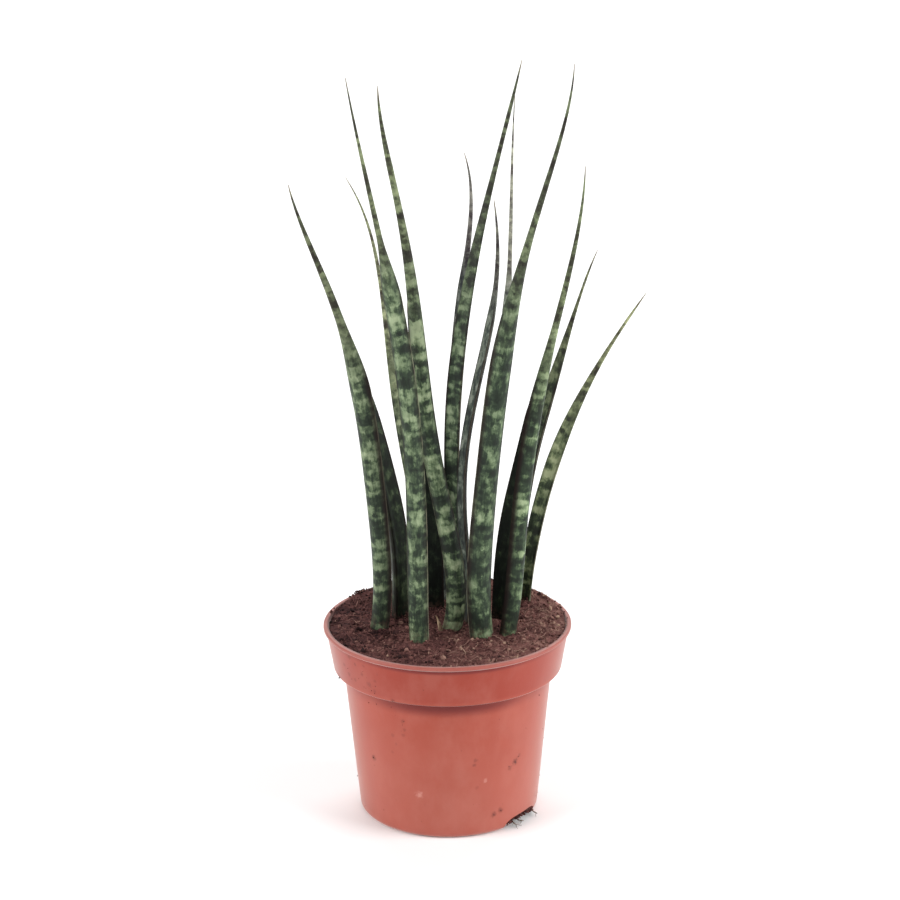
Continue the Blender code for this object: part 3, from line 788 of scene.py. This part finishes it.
def build_drain_root(name, swing, reach, curl, sag, seed):
    """One root and its side roots, which leave it in turn to the left and right and droop."""
    rng = np.random.default_rng(seed)
    t = np.linspace(0.0, 1.0, ROOT_POINTS)
    radius = BODY_BOTTOM_RADIUS - 5.2 * MM + reach * MM * t
    angle = NOTCH_DIRECTIONS[0] + swing + curl * np.sin(2.6 * t) + 0.006 * np.sin(19.0 * t + seed)
    height = FLOOR_TOP - ROOT_RADIUS - sag * MM * np.sin(1.6 * t) ** 2 + 0.08 * MM * np.sin(23.0 * t)
    path = about_axis(radius, angle, height)
    thick = ROOT_RADIUS * (1.0 - 0.72 * t) * (1.0 + 0.12 * np.sin(31.0 * t + seed))
    vertices, faces = closed_rings(root_rings(path[None], thick[None], ROOT_SIDES))

    start = np.linspace(0.25, 0.92, SIDE_ROOTS)
    origin = np.stack([np.interp(start, t, column) for column in path.T], axis=-1)
    apart = np.where(np.arange(SIDE_ROOTS) % 2, 0.9, -0.9) + rng.normal(0.0, 0.3, SIDE_ROOTS)
    side = NOTCH_DIRECTIONS[0] + swing + apart
    length = MM * rng.uniform(1.2, 3.2, SIDE_ROOTS)
    u = np.linspace(0.0, 1.0, SIDE_ROOT_POINTS)
    heading = side[:, None] + rng.normal(0.0, 0.7, (SIDE_ROOTS, 1)) * u
    away = length[:, None] * u
    small = origin[:, None] + about_axis(away, heading, -0.5 * away * u)
    small[..., 2] = np.maximum(small[..., 2], 0.25 * MM)
    fine = 0.15 * MM * (1.0 - 0.6 * u) + np.zeros((SIDE_ROOTS, 1))
    more, more_faces = closed_rings(root_rings(small, fine, SIDE_ROOT_SIDES))
    faces = faces + [group + len(vertices) for group in more_faces]
    root = plain_object(name + "_end", np.concatenate([vertices, more]), faces)
    finish_piece(root, root_brown, "root", name, sharp=70.0)


def root_finish():
    """Brown bark with paler rings where it has shrunk, and peat dust."""
    made, tree, inputs = new_finish("root_brown", roughness=0.85, specular=0.25)
    place = wired(tree, "TexCoord").outputs["Object"]
    rings = noise(tree, place, 1300.0, 3.0, 0.7)
    colour = blend(tree, rise(tree, rings, 0.35, 0.7), *BARK)
    tree.links.new(colour, inputs["Base Color"])
    bumped(tree, inputs, rings, 0.12 * MM)
    return made


root_brown = root_finish()
for seed, (name, shape) in enumerate(DRAIN_ROOTS.items()):
    build_drain_root(name, *shape, seed=31 + seed)

# --------------------------------------------------------------------------------- The leaves
# Fifteen stiff, fleshy leaves that grow from one rhizome clump. Below its shoulder a leaf is a
# thick gutter with thin margins; above it the gutter closes into a round spike with a dry point.

# x positions are those at the soil, at each fifth of the height and at the tip, and the leaf leans
# from the first y to the second. tip is the height above the ground, blade the width near the foot
# and at the shoulder, spike the width above it, and all these are in mm. shoulder is where the
# leaf starts and ends narrowing, as parts of its height, and facing is the way the gutter opens,
# in degrees. light is the share of pale mottling, bands how far it gathers in cross bands, tint
# the colour that the leaf leans to, and cream and red the strengths of the pale and the dark
# line on its (left, right) margin. The tint is also painted shade, dark on the leaves at the back,
# and painted light, raised on shaded leaves. The dark line is partly the red-brown margin and
# partly painted shade, stronger on one side.
LEAVES = {
    "leaf_far_left": dict(
        x=(-33.5, -32, -35.5, -42, -55, -69.5), y=(-9, -32), tip=318,
        blade=(9.9, 10.8), spike=3.8, shoulder=(0.54, 0.73), facing=65,
        light=0.47, bands=0.8, tint_and_shade=(1.0, 1.0, 0.97), cream=(0.5, 0.1), red_and_shade=(0.1, 0.8)),
    "leaf_left_back": dict(
        x=(-23, -23, -28, -36.5, -46, -58), y=(6, 27), tip=262,
        blade=(13, 10.8), spike=1.2, shoulder=(0.56, 0.90), facing=-35,
        light=0.36, bands=0.35, tint_and_shade=(0.62, 0.64, 0.58), cream=(0.0, 0.0), red_and_shade=(0.3, 0.9)),
    "leaf_left_slim": dict(
        x=(-8, -13.5, -21, -27, -32, -47), y=(24, 52), tip=303,
        blade=(6.9, 6), spike=1.9, shoulder=(0.29, 0.79), facing=-60,
        light=0.52, bands=0.6, tint_and_shade=(1.9, 1.8, 1.75), cream=(0.6, 0.5), red_and_shade=(0.2, 0.2)),
    "leaf_left_front": dict(
        x=(-13.5, -14, -16, -22.5, -32.5, -42.5), y=(-28, -44), tip=368,
        blade=(10.2, 8.8), spike=2.6, shoulder=(0.62, 0.74), facing=80,
        light=0.47, bands=0.7, tint_and_shade=(1.06, 1.08, 1.03), cream=(0.3, 0.3), red_and_shade=(0.2, 0.35)),
    "leaf_left_inner": dict(
        x=(-5.5, -6, -7.5, -11, -15, -17.5), y=(14, 22), tip=250,
        blade=(9.2, 7.9), spike=1.2, shoulder=(0.52, 0.97), facing=-95,
        light=0.25, bands=0.3, tint_and_shade=(0.32, 0.33, 0.32), cream=(0.1, 0.1), red_and_shade=(0.5, 0.5)),
    "leaf_middle_front": dict(
        x=(2, 0.5, -8.5, -13.5, -21, -29), y=(-13, -20), tip=360,
        blade=(10.1, 8.2), spike=2.9, shoulder=(0.43, 0.86), facing=100,
        light=0.47, bands=1.3, tint_and_shade=(1.1, 1.12, 1.05), cream=(0.1, 0.1), red_and_shade=(0.2, 0.5)),
    "leaf_middle_tall": dict(
        x=(5, 3.5, 4.5, 11.5, 23.5, 37), y=(17, 28), tip=363,
        blade=(8.4, 8.7), spike=2, shoulder=(0.41, 0.90), facing=-125,
        light=0.43, bands=1.2, tint_and_shade=(0.97, 1.0, 0.97), cream=(0.1, 0.2), red_and_shade=(1.0, 0.6)),
    "leaf_middle_slim": dict(
        x=(1, 1.5, 3.5, 6, 11.5, 10), y=(25, 55), tip=314,
        blade=(5.7, 4.9), spike=2.5, shoulder=(0.69, 0.82), facing=-100,
        light=0.46, bands=0.2, tint_and_shade=(1.2, 1.0, 1.5), cream=(0.2, 0.2), red_and_shade=(0.5, 0.5)),
    "leaf_middle_dark": dict(
        x=(8, 8.5, 8.5, 16, 24, 23.5), y=(-4, 14), tip=300,
        blade=(7.3, 5.8), spike=2.2, shoulder=(0.70, 0.84), facing=-150,
        light=0.45, bands=0.2, tint_and_shade=(1.12, 0.98, 1.35), cream=(0.3, 0.1), red_and_shade=(0.6, 0.8)),
    "leaf_back_spike": dict(
        x=(17.5, 20, 26, 30.5, 32.5, 34.5), y=(30, 61), tip=340,
        blade=(5.7, 5.3), spike=2.2, shoulder=(0.56, 0.69), facing=-90,
        light=0.5, bands=0.65, tint_and_shade=(1.95, 1.7, 2.3), cream=(0.3, 0.3), red_and_shade=(0.1, 0.1)),
    "leaf_tall_front": dict(
        x=(17, 17, 22.5, 31, 45.5, 57.5), y=(-23, -54), tip=375,
        blade=(12.3, 10.7), spike=2.9, shoulder=(0.47, 0.75), facing=105,
        light=0.44, bands=0.6, tint_and_shade=(0.98, 1.02, 0.97), cream=(0.2, 0.7), red_and_shade=(0.7, 0.0)),
    "leaf_right_inner": dict(
        x=(25, 26.5, 30, 36, 42.5, 50), y=(0, 12), tip=228,
        blade=(8.2, 6.7), spike=1.2, shoulder=(0.75, 0.94), facing=-120,
        light=0.28, bands=0.35, tint_and_shade=(0.4, 0.42, 0.38), cream=(0.1, 0.1), red_and_shade=(0.6, 0.5)),
    "leaf_right_front": dict(
        x=(29, 34, 38.5, 47, 57.5, 63.5), y=(-18, -36), tip=326,
        blade=(9.9, 9.2), spike=3, shoulder=(0.45, 0.71), facing=125,
        light=0.49, bands=1.1, tint_and_shade=(1.15, 1.2, 1.1), cream=(0.0, 0.9), red_and_shade=(0.9, 0.0)),
    "leaf_right_back": dict(
        x=(32.5, 36, 41, 50, 60.5, 73), y=(23, 32), tip=271,
        blade=(8.2, 7.5), spike=1.2, shoulder=(0.55, 0.92), facing=-140,
        light=0.455, bands=0.9, tint_and_shade=(0.98, 0.92, 0.84), cream=(0.2, 0.2), red_and_shade=(0.4, 0.8)),
    "leaf_far_right": dict(
        x=(38, 42, 49.5, 61, 77.5, 99), y=(25, 66), tip=241,
        blade=(8.3, 8.2), spike=1.4, shoulder=(0.42, 0.92), facing=-130,
        light=0.585, bands=1.2, tint_and_shade=(1.68, 1.56, 1.42), cream=(0.1, 0.3), red_and_shade=(0.2, 0.3)),
}
SOIL_LEVEL = POT_HEIGHT - 0.6 * MM
LEAF_ROOT = 16.0 * MM
LEAF_RINGS = 230
LEAF_SIDES = 56
TIP_WIDTH = 0.3 * MM
SPIKE_TAPER = 0.8
LEAN_POWER = 1.5
FOOT_PART = 0.95
FOOT_REACH = 35.0 * MM
GUTTER_THICKNESS = 0.42
GUTTER_DEPTH = 0.26
FIFTHS = np.linspace(0.0, 1.0, 6)
DRY_END = 9.0 * MM

LEAF_TONES = (
    (0.14, (0.015, 0.020, 0.015)), (0.36, (0.026, 0.038, 0.025)), (0.52, (0.060, 0.086, 0.049)),
    (0.69, (0.150, 0.196, 0.114)), (0.95, (0.290, 0.342, 0.220)))
SPIKE_TONES = (
    (0.12, (0.020, 0.015, 0.013)), (0.34, (0.034, 0.030, 0.022)), (0.53, (0.086, 0.098, 0.058)),
    (0.82, (0.215, 0.245, 0.140)))
MARGIN_RED_AND_SHADE = (0.018, 0.011, 0.010)
MARGIN_CREAM = (0.48, 0.45, 0.32)
FOOT_DUST = (0.105, 0.058, 0.044)
DRY_BROWN = (0.24, 0.19, 0.13)


def through_fifths(values, s):
    """The one smooth curve of degree five that takes the six values at s = 0, 1/5, ... 1."""
    total = np.zeros_like(s)
    for i, value in enumerate(values):
        others = np.delete(FIFTHS, i)
        total += value * np.prod((s[:, None] - others) / (FIFTHS[i] - others), axis=1)
    return total


def ease(t):
    """A smooth step from 0 to 1 as t goes from 0 to 1."""
    t = np.clip(t, 0.0, 1.0)
    return t * t * (3.0 - 2.0 * t)


def leaf_surface(leaf, seed):
    """Rings of one leaf and what its finish reads at each point.

    At the part s of its height the leaf's middle is at the curve through its six x positions and
    at y0 + (y1 - y0) * s ** LEAN_POWER. At the angle u round a section a point is half the width
    times cos u across the leaf, and half the thickness times sin u plus the gutter's depth times
    (cos u squared - 1/2) towards the open side. Above the shoulder the gutter fades to a circle.
    Shallow waves along s and u keep the skin from being perfectly even.
    """
    rise_of_leaf = leaf["tip"] * MM - SOIL_LEVEL
    s = np.concatenate([[-LEAF_ROOT / rise_of_leaf], np.linspace(0.0, 1.0, LEAF_RINGS)])
    above = np.clip(s, 0.0, 1.0)
    x = through_fifths(np.array(leaf["x"]) * MM, above)
    y = (leaf["y"][0] + (leaf["y"][1] - leaf["y"][0]) * above ** LEAN_POWER) * MM
    path = np.column_stack([x, y, SOIL_LEVEL + rise_of_leaf * s])

    low, high = leaf["shoulder"]
    foot_blade, top_blade = leaf["blade"]
    blade = (foot_blade + (top_blade - foot_blade) * np.clip(s / low, 0.0, 1.0)) * MM
    blade = blade * (FOOT_PART + (1.0 - FOOT_PART) * ease(s * rise_of_leaf / FOOT_REACH))
    spike = leaf["spike"] * MM
    spike_width = TIP_WIDTH + (spike - TIP_WIDTH) * np.clip((1.0 - s) / (1.0 - high), 0.0, 1.0) ** SPIKE_TAPER
    gutter = ease((high - s) / (high - low))
    half_width = 0.5 * (spike_width + (blade - spike_width) * gutter)
    half_thickness = 0.5 * (spike_width * (1.0 - gutter) + GUTTER_THICKNESS * blade * gutter)
    channel = GUTTER_DEPTH * blade * gutter
    half_width = half_width * (1.0 + 0.012 * np.sin(21.0 * s + seed))
    half_thickness = half_thickness * (1.0 + 0.02 * np.sin(17.0 * s + 2.0 * seed))

    tangent = np.gradient(path, axis=0)
    tangent[:2] = (0.0, 0.0, 1.0)
    tangent /= np.linalg.norm(tangent, axis=1)[:, None]
    facing = math.radians(leaf["facing"])
    open_side = np.array([math.cos(facing), math.sin(facing), 0.0])
    open_side = open_side - tangent * (tangent @ open_side)[:, None]
    open_side /= np.linalg.norm(open_side, axis=1)[:, None]
    across = np.cross(open_side, tangent)

    u = whole_turn(LEAF_SIDES)
    thin = np.abs(np.sin(u)) ** 0.25
    body = np.sin(u) * (thin * gutter[:, None] + 1.0 - gutter[:, None])
    wide = half_width[:, None] * np.cos(u)
    ribs = 1.0 + 0.018 * np.sin(14.0 * u + seed)
    deep = half_thickness[:, None] * body * ribs + channel[:, None] * (np.cos(u) ** 2 - 0.5)
    rings = path[:, None, :] + wide[..., None] * across[:, None, :] + deep[..., None] * open_side[:, None, :]
    straight = np.stack([wide, deep, np.broadcast_to((rise_of_leaf * s)[:, None], wide.shape)], axis=-1)
    margin = math.copysign(1.0, across[-1, 0]) * np.cos(u) * gutter[:, None] ** 0.5
    spiky = np.broadcast_to(1.0 - gutter[:, None], wide.shape)
    dry = ease((s - 1.0) * rise_of_leaf / DRY_END + 1.0)
    dry = np.broadcast_to(dry[:, None], wide.shape)
    return rings[None], straight, margin, spiky, dry


def leaf_mottle_group():
    """The leaf's skin: pale, jagged patches on dark green, gathered in cross bands.

    Ragged cells, patches of a few millimetres, long streaks and cross bands are added up, and the
    sum goes through a colour ramp from near black to grey-green, a little paler higher up the blade
    as painted light. On the spike the bands count most, and are browner. The tint is partly painted
    shade and light. Painted shade darkens both margins, and the dark line along each margin is partly
    the red-brown margin and partly painted shade. Cream lines, peat dust at the foot and a dry tip go
    over it.
    """
    tree, given, out = new_group(
        "leaf_mottle",
        {"Shift": ORIGIN, "Light": 0.5, "Bands": 0.4, "Tint": (1.0, 1.0, 1.0, 1.0),
         "Cream left": 0.2, "Cream right": 0.2, "Red left": 0.2, "Red right": 0.2},
        ["Color", "Roughness", "Height"])
    straight = read_mark(tree, "straight", "Vector")
    spiky, margin, dry = (read_mark(tree, name) for name in ("spiky", "margin", "dry"))
    along = part_of(tree, straight, "Z")
    place = vector_calc(tree, "ADD", straight, given["Shift"])

    ragged = wired(tree, "TexNoise", {"Vector": place, "Scale": 620.0, "Detail": 2.0}).outputs["Color"]
    shift = vector_calc(tree, "ADD", ragged, (-0.5, -0.5, -0.5))
    shift = vector_calc(tree, "MULTIPLY", shift, (2.2 * MM, 2.2 * MM, 3.0 * MM))
    torn = vector_calc(tree, "ADD", place, shift)

    def cells(scale, flat):
        """A random number from -1 to 1 for each blocky cell."""
        made = wired(tree, "TexVoronoi", {"Vector": stretched(tree, torn, 1.0, flat), "Scale": scale})
        shade = wired(tree, "SeparateColor", {0: made.outputs["Color"]}).outputs[0]
        return calc(tree, "MULTIPLY_ADD", shade, 2.0, -1.0)

    large, small = cells(290.0, 0.62), cells(620.0, 0.66)
    streaks = noise(tree, place, 1250.0, 2.0, 0.5, along=0.14)
    patches = noise(tree, torn, 290.0, 2.0, 0.5, along=0.66)
    crossing = noise(tree, torn, 115.0, 1.5, 0.5, warp=0.2, across=0.25)
    fine_bands = noise(tree, torn, 260.0, 1.0, 0.5, across=0.30)
    wide_band = rise(tree, crossing, 0.36, 0.62, -1.0, 1.0)
    thin_band = rise(tree, fine_bands, 0.34, 0.66, -1.0, 1.0)
    rings = noise(tree, torn, 310.0, 2.0, 0.6, across=0.55)

    banded = calc(tree, "MULTIPLY_ADD", wide_band, 0.13, times(tree, thin_band, 0.15))
    value = calc(tree, "MULTIPLY_ADD", banded, given["Bands"], given["Light"])
    # Paler from 60 to 170 mm up the leaf: painted light.
    value = calc(tree, "ADD", value, rise(tree, along, 60.0 * MM, 170.0 * MM, 0.0, 0.065))
    for part, share in ((thin_band, 0.04), (large, 0.10), (small, 0.05)):
        value = calc(tree, "MULTIPLY_ADD", part, share, value)
    value = calc(tree, "MULTIPLY_ADD", rise(tree, patches, 0.32, 0.68, -1.0, 1.0), 0.15, value)
    value = calc(tree, "MULTIPLY_ADD", calc(tree, "ADD", streaks, -0.5), 0.36, value)

    spike_value = calc(tree, "MULTIPLY_ADD", rise(tree, rings, 0.36, 0.64, -1.0, 1.0), 0.17,
                       calc(tree, "ADD", given["Light"], -0.03))
    for part, share in ((wide_band, 0.10), (thin_band, 0.06), (small, 0.08)):
        spike_value = calc(tree, "MULTIPLY_ADD", part, share, spike_value)
    colour = blend(tree, times(tree, spiky, 0.9), toned(tree, value, LEAF_TONES),
                   toned(tree, spike_value, SPIKE_TONES))
    # The tint is the leaf's own colour and also painted shade on the leaves at the back and painted light on
    # shaded ones.
    colour = blend(tree, 1.0, colour, given["Tint"], kind="MULTIPLY")

    # Painted shade: both margins darker, to round the leaf.
    painted_round_shade = rise(tree, calc(tree, "ABSOLUTE", margin), 0.50, 1.0, 1.0, 0.55)
    colour = blend(tree, 1.0, colour, painted_round_shade, kind="MULTIPLY")

    left = times(tree, margin, -1.0)
    # The dark line is partly the red-brown margin and partly painted shade, with its own strength on each
    # side.
    for side, cream, red_and_shade in ((left, "Cream left", "Red left"), (margin, "Cream right", "Red right")):
        broken = rise(tree, noise(tree, place, 210.0, 2.0, along=0.5), 0.36, 0.50)
        red_and_shade_line = times(tree, rise(tree, side, 0.66, 0.93), given[red_and_shade])
        colour = blend(tree, red_and_shade_line, colour, MARGIN_RED_AND_SHADE)
        cream_line = times(tree, rise(tree, side, 0.95, 0.99), given[cream])
        colour = blend(tree, times(tree, cream_line, broken), colour, MARGIN_CREAM)

    near_soil = rise(tree, along, 0.5 * MM, 11.0 * MM, 1.0, 0.0)
    dust = times(tree, near_soil, rise(tree, noise(tree, place, 420.0, 3.0, 0.65), 0.42, 0.66))
    colour = blend(tree, times(tree, dust, 0.62), colour, FOOT_DUST)
    colour = blend(tree, times(tree, dry, 0.8), colour, DRY_BROWN)

    tree.links.new(colour, out["Color"])
    thin_edge = rise(tree, calc(tree, "ABSOLUTE", margin), 0.80, 0.97, 0.44, 0.85)
    dull = calc(tree, "MULTIPLY_ADD", dust, 0.30, calc(tree, "MULTIPLY_ADD", patches, 0.16, thin_edge))
    tree.links.new(dull, out["Roughness"])
    veins = noise(tree, place, 2100.0, 2.0, along=0.035)
    tree.links.new(calc(tree, "ADD", veins, times(tree, patches, 0.5)), out["Height"])
    return tree


leaf_mottle = leaf_mottle_group()


def leaf_finish(name, leaf, seed):
    """One leaf's skin: the shared mottling at its own place, share of pale patches and tint."""
    made, tree, inputs = new_finish(name + "_skin", specular=0.15)
    skin = wired(tree, "Group", node_tree=leaf_mottle)
    skin.inputs["Shift"].default_value = (0.31 * seed, 0.17 * seed, 0.73 * seed)
    skin.inputs["Light"].default_value = leaf["light"]
    skin.inputs["Bands"].default_value = leaf["bands"]
    skin.inputs["Tint"].default_value = (*leaf["tint_and_shade"], 1.0)
    for side, cream, red_and_shade in zip(("left", "right"), leaf["cream"], leaf["red_and_shade"]):
        skin.inputs["Cream " + side].default_value = cream
        skin.inputs["Red " + side].default_value = red_and_shade
    tree.links.new(skin.outputs["Color"], inputs["Base Color"])
    tree.links.new(skin.outputs["Roughness"], inputs["Roughness"])
    bumped(tree, inputs, skin.outputs["Height"], 0.05 * MM, 0.7)
    return made


for seed, (name, leaf) in enumerate(LEAVES.items(), start=1):
    rings, straight, margin, spiky, dry = leaf_surface(leaf, seed)
    blade = plain_object(name + "_blade", *closed_rings(rings))
    for mark, values in (("straight", straight), ("margin", margin), ("spiky", spiky), ("dry", dry)):
        flat = values.reshape(LEAF_SIDES * (LEAF_RINGS + 1), -1)
        poles = [values[0].mean(axis=0, keepdims=True), values[-1].mean(axis=0, keepdims=True)]
        whole = np.concatenate([flat] + [np.reshape(pole, (1, -1)) for pole in poles])
        marked(blade, mark, whole if whole.shape[1] == 3 else whole[:, 0])
    finish_piece(blade, leaf_finish(name, leaf, seed), "leaf", name, sharp=60.0)

# --------------------------------------------------------------------------- The dry scale
# The papery remains of a small scale leaf, bleached to straw. It stands in the peat between the
# left front and the middle front leaf, leans to the left, and is rolled lengthways.
SHEATH_FOOT = (-2.8 * MM, -15.8 * MM)
SHEATH_HEIGHT = 9.5 * MM
SHEATH_WIDTH = 2.6 * MM
SHEATH_THICKNESS = 0.5 * MM
SHEATH_ROOT = 5.0 * MM
SHEATH_LEAN = 2.6 * MM
SHEATH_RINGS = 40
SHEATH_SIDES = 28
STRAW = (0.20, 0.125, 0.075), (0.52, 0.38, 0.25)
STRAW_FOOT = (0.075, 0.036, 0.028)


def sheath_rings():
    """Sections of the scale: a thin ellipse rolled into a shallow trough, narrowing to the tip."""
    s = np.concatenate([[-SHEATH_ROOT / SHEATH_HEIGHT], np.linspace(0.0, 1.0, SHEATH_RINGS)])
    above = np.clip(s, 0.0, 1.0)
    size = 1.0 - 0.9 * above ** 1.6
    u = whole_turn(SHEATH_SIDES)
    wide = 0.5 * SHEATH_WIDTH * size[:, None] * np.cos(u)
    roll = 0.45 * SHEATH_WIDTH * size[:, None] * np.cos(u) ** 2 * (0.4 + 0.6 * above[:, None])
    deep = 0.5 * SHEATH_THICKNESS * size[:, None] * np.sin(u) + roll
    wave = 0.18 * MM * np.sin(9.0 * above) * above
    rings = np.zeros((1, len(s), len(u), 3))
    rings[0, ..., 0] = (SHEATH_FOOT[0] - SHEATH_LEAN * above ** 1.4)[:, None] + wide
    rings[0, ..., 1] = (SHEATH_FOOT[1] + 1.0 * MM * above + wave)[:, None] + deep
    rings[0, ..., 2] = (SOIL_LEVEL + SHEATH_HEIGHT * s)[:, None]
    return rings


def straw_finish():
    """Bleached straw with darker veins along it and a brown foot."""
    made, tree, inputs = new_finish("dry_straw", roughness=0.75, specular=0.3)
    place = wired(tree, "TexCoord").outputs["Object"]
    veins = noise(tree, place, 1800.0, 2.0, along=0.08)
    colour = blend(tree, rise(tree, veins, 0.38, 0.62), *STRAW)
    height = part_of(tree, place, "Z")
    foot = rise(tree, height, POT_HEIGHT, POT_HEIGHT + 6.0 * MM, 0.8, 0.0)
    colour = blend(tree, foot, colour, STRAW_FOOT)
    tree.links.new(colour, inputs["Base Color"])
    bumped(tree, inputs, veins, 0.08 * MM)
    return made


sheath = plain_object("dry_scale", *closed_rings(sheath_rings()))
finish_piece(sheath, straw_finish(), "dry_sheath", "dry_sheath", sharp=70.0)

# ------------------------------------------------------------------------------- The setting
# A plain pale floor that fills the view and a pale sky all round. Two large soft lights stand at
# both sides in front, a third lights the floor behind, and a long lens looks down a little.
FLOOR_RADIUS = 40.0
FLOOR_RINGS = 40
FLOOR_TURNS = 96
FLOOR_THICKNESS = 5.0 * MM
FLOOR_WHITES = (0.93, 0.93, 0.93), (0.95, 0.95, 0.95)
CAMERA_AIM = Vector((2.0 * MM, 0.0, 182.1 * MM))
CAMERA_DISTANCE = 1.3
CAMERA_ELEVATION = math.radians(17.8)
CAMERA_ROLL = math.radians(-0.5)
CAMERA_LENS = 109.6
SKY_STRENGTH = 0.42


def build_floor():
    """A flat disc of many rings, rough and almost white, with the faintest cloudiness."""
    radii = np.geomspace(0.05, FLOOR_RADIUS, FLOOR_RINGS)
    top = about_axis(radii[::-1, None], whole_turn(FLOOR_TURNS), 0.0)
    under = top[:1] - [0.0, 0.0, FLOOR_THICKNESS]
    made, tree, inputs = new_finish("pale_floor", roughness=0.9, specular=0.1)
    place = wired(tree, "TexCoord").outputs["Object"]
    tree.links.new(blend(tree, noise(tree, place, 3.0), *FLOOR_WHITES), inputs["Base Color"])
    floor = plain_object("floor", *closed_rings(np.concatenate([under, top])[None]))
    floor.data.materials.append(made)


def soft_light(name, place, size, power, target=CAMERA_AIM):
    """A square area light that looks at the middle of the plant, or at another target."""
    light = bpy.data.lights.new(name, "AREA")
    light.size, light.energy = size, power
    made = bpy.data.objects.new(name, light)
    made.location = place
    made.rotation_euler = (target - Vector(place)).to_track_quat("-Z", "Y").to_euler()
    bpy.context.scene.collection.objects.link(made)


build_floor()
soft_light("key_light", (-2.7, -1.05, 1.6), 2.0, 84.0)
soft_light("fill_light", (2.8, -0.95, 1.5), 2.0, 100.0)
soft_light("back_light", (0.3, 2.6, 2.6), 3.0, 80.0, Vector((0.0, 2.4, 0.0)))

sky = bpy.data.worlds.new("pale_sky")
sky.use_nodes = True
sky.node_tree.nodes["Background"].inputs["Color"].default_value = (1.0, 1.0, 1.0, 1.0)
sky.node_tree.nodes["Background"].inputs["Strength"].default_value = SKY_STRENGTH
bpy.context.scene.world = sky
bpy.context.scene.view_settings.view_transform = "Standard"

ahead = Vector((0.0, math.cos(CAMERA_ELEVATION), -math.sin(CAMERA_ELEVATION)))
level = Vector((1.0, 0.0, 0.0))
right = level * math.cos(CAMERA_ROLL) + level.cross(ahead) * math.sin(CAMERA_ROLL)
over = right.cross(ahead)
camera = bpy.data.objects.new("camera", bpy.data.cameras.new("camera"))
camera.data.lens = CAMERA_LENS
camera.data.clip_end = 200.0
camera.matrix_world = Matrix.Translation(CAMERA_AIM - ahead * CAMERA_DISTANCE) @ Matrix(
    (right, over, -ahead)).transposed().to_4x4()
bpy.context.scene.collection.objects.link(camera)
bpy.context.scene.camera = camera
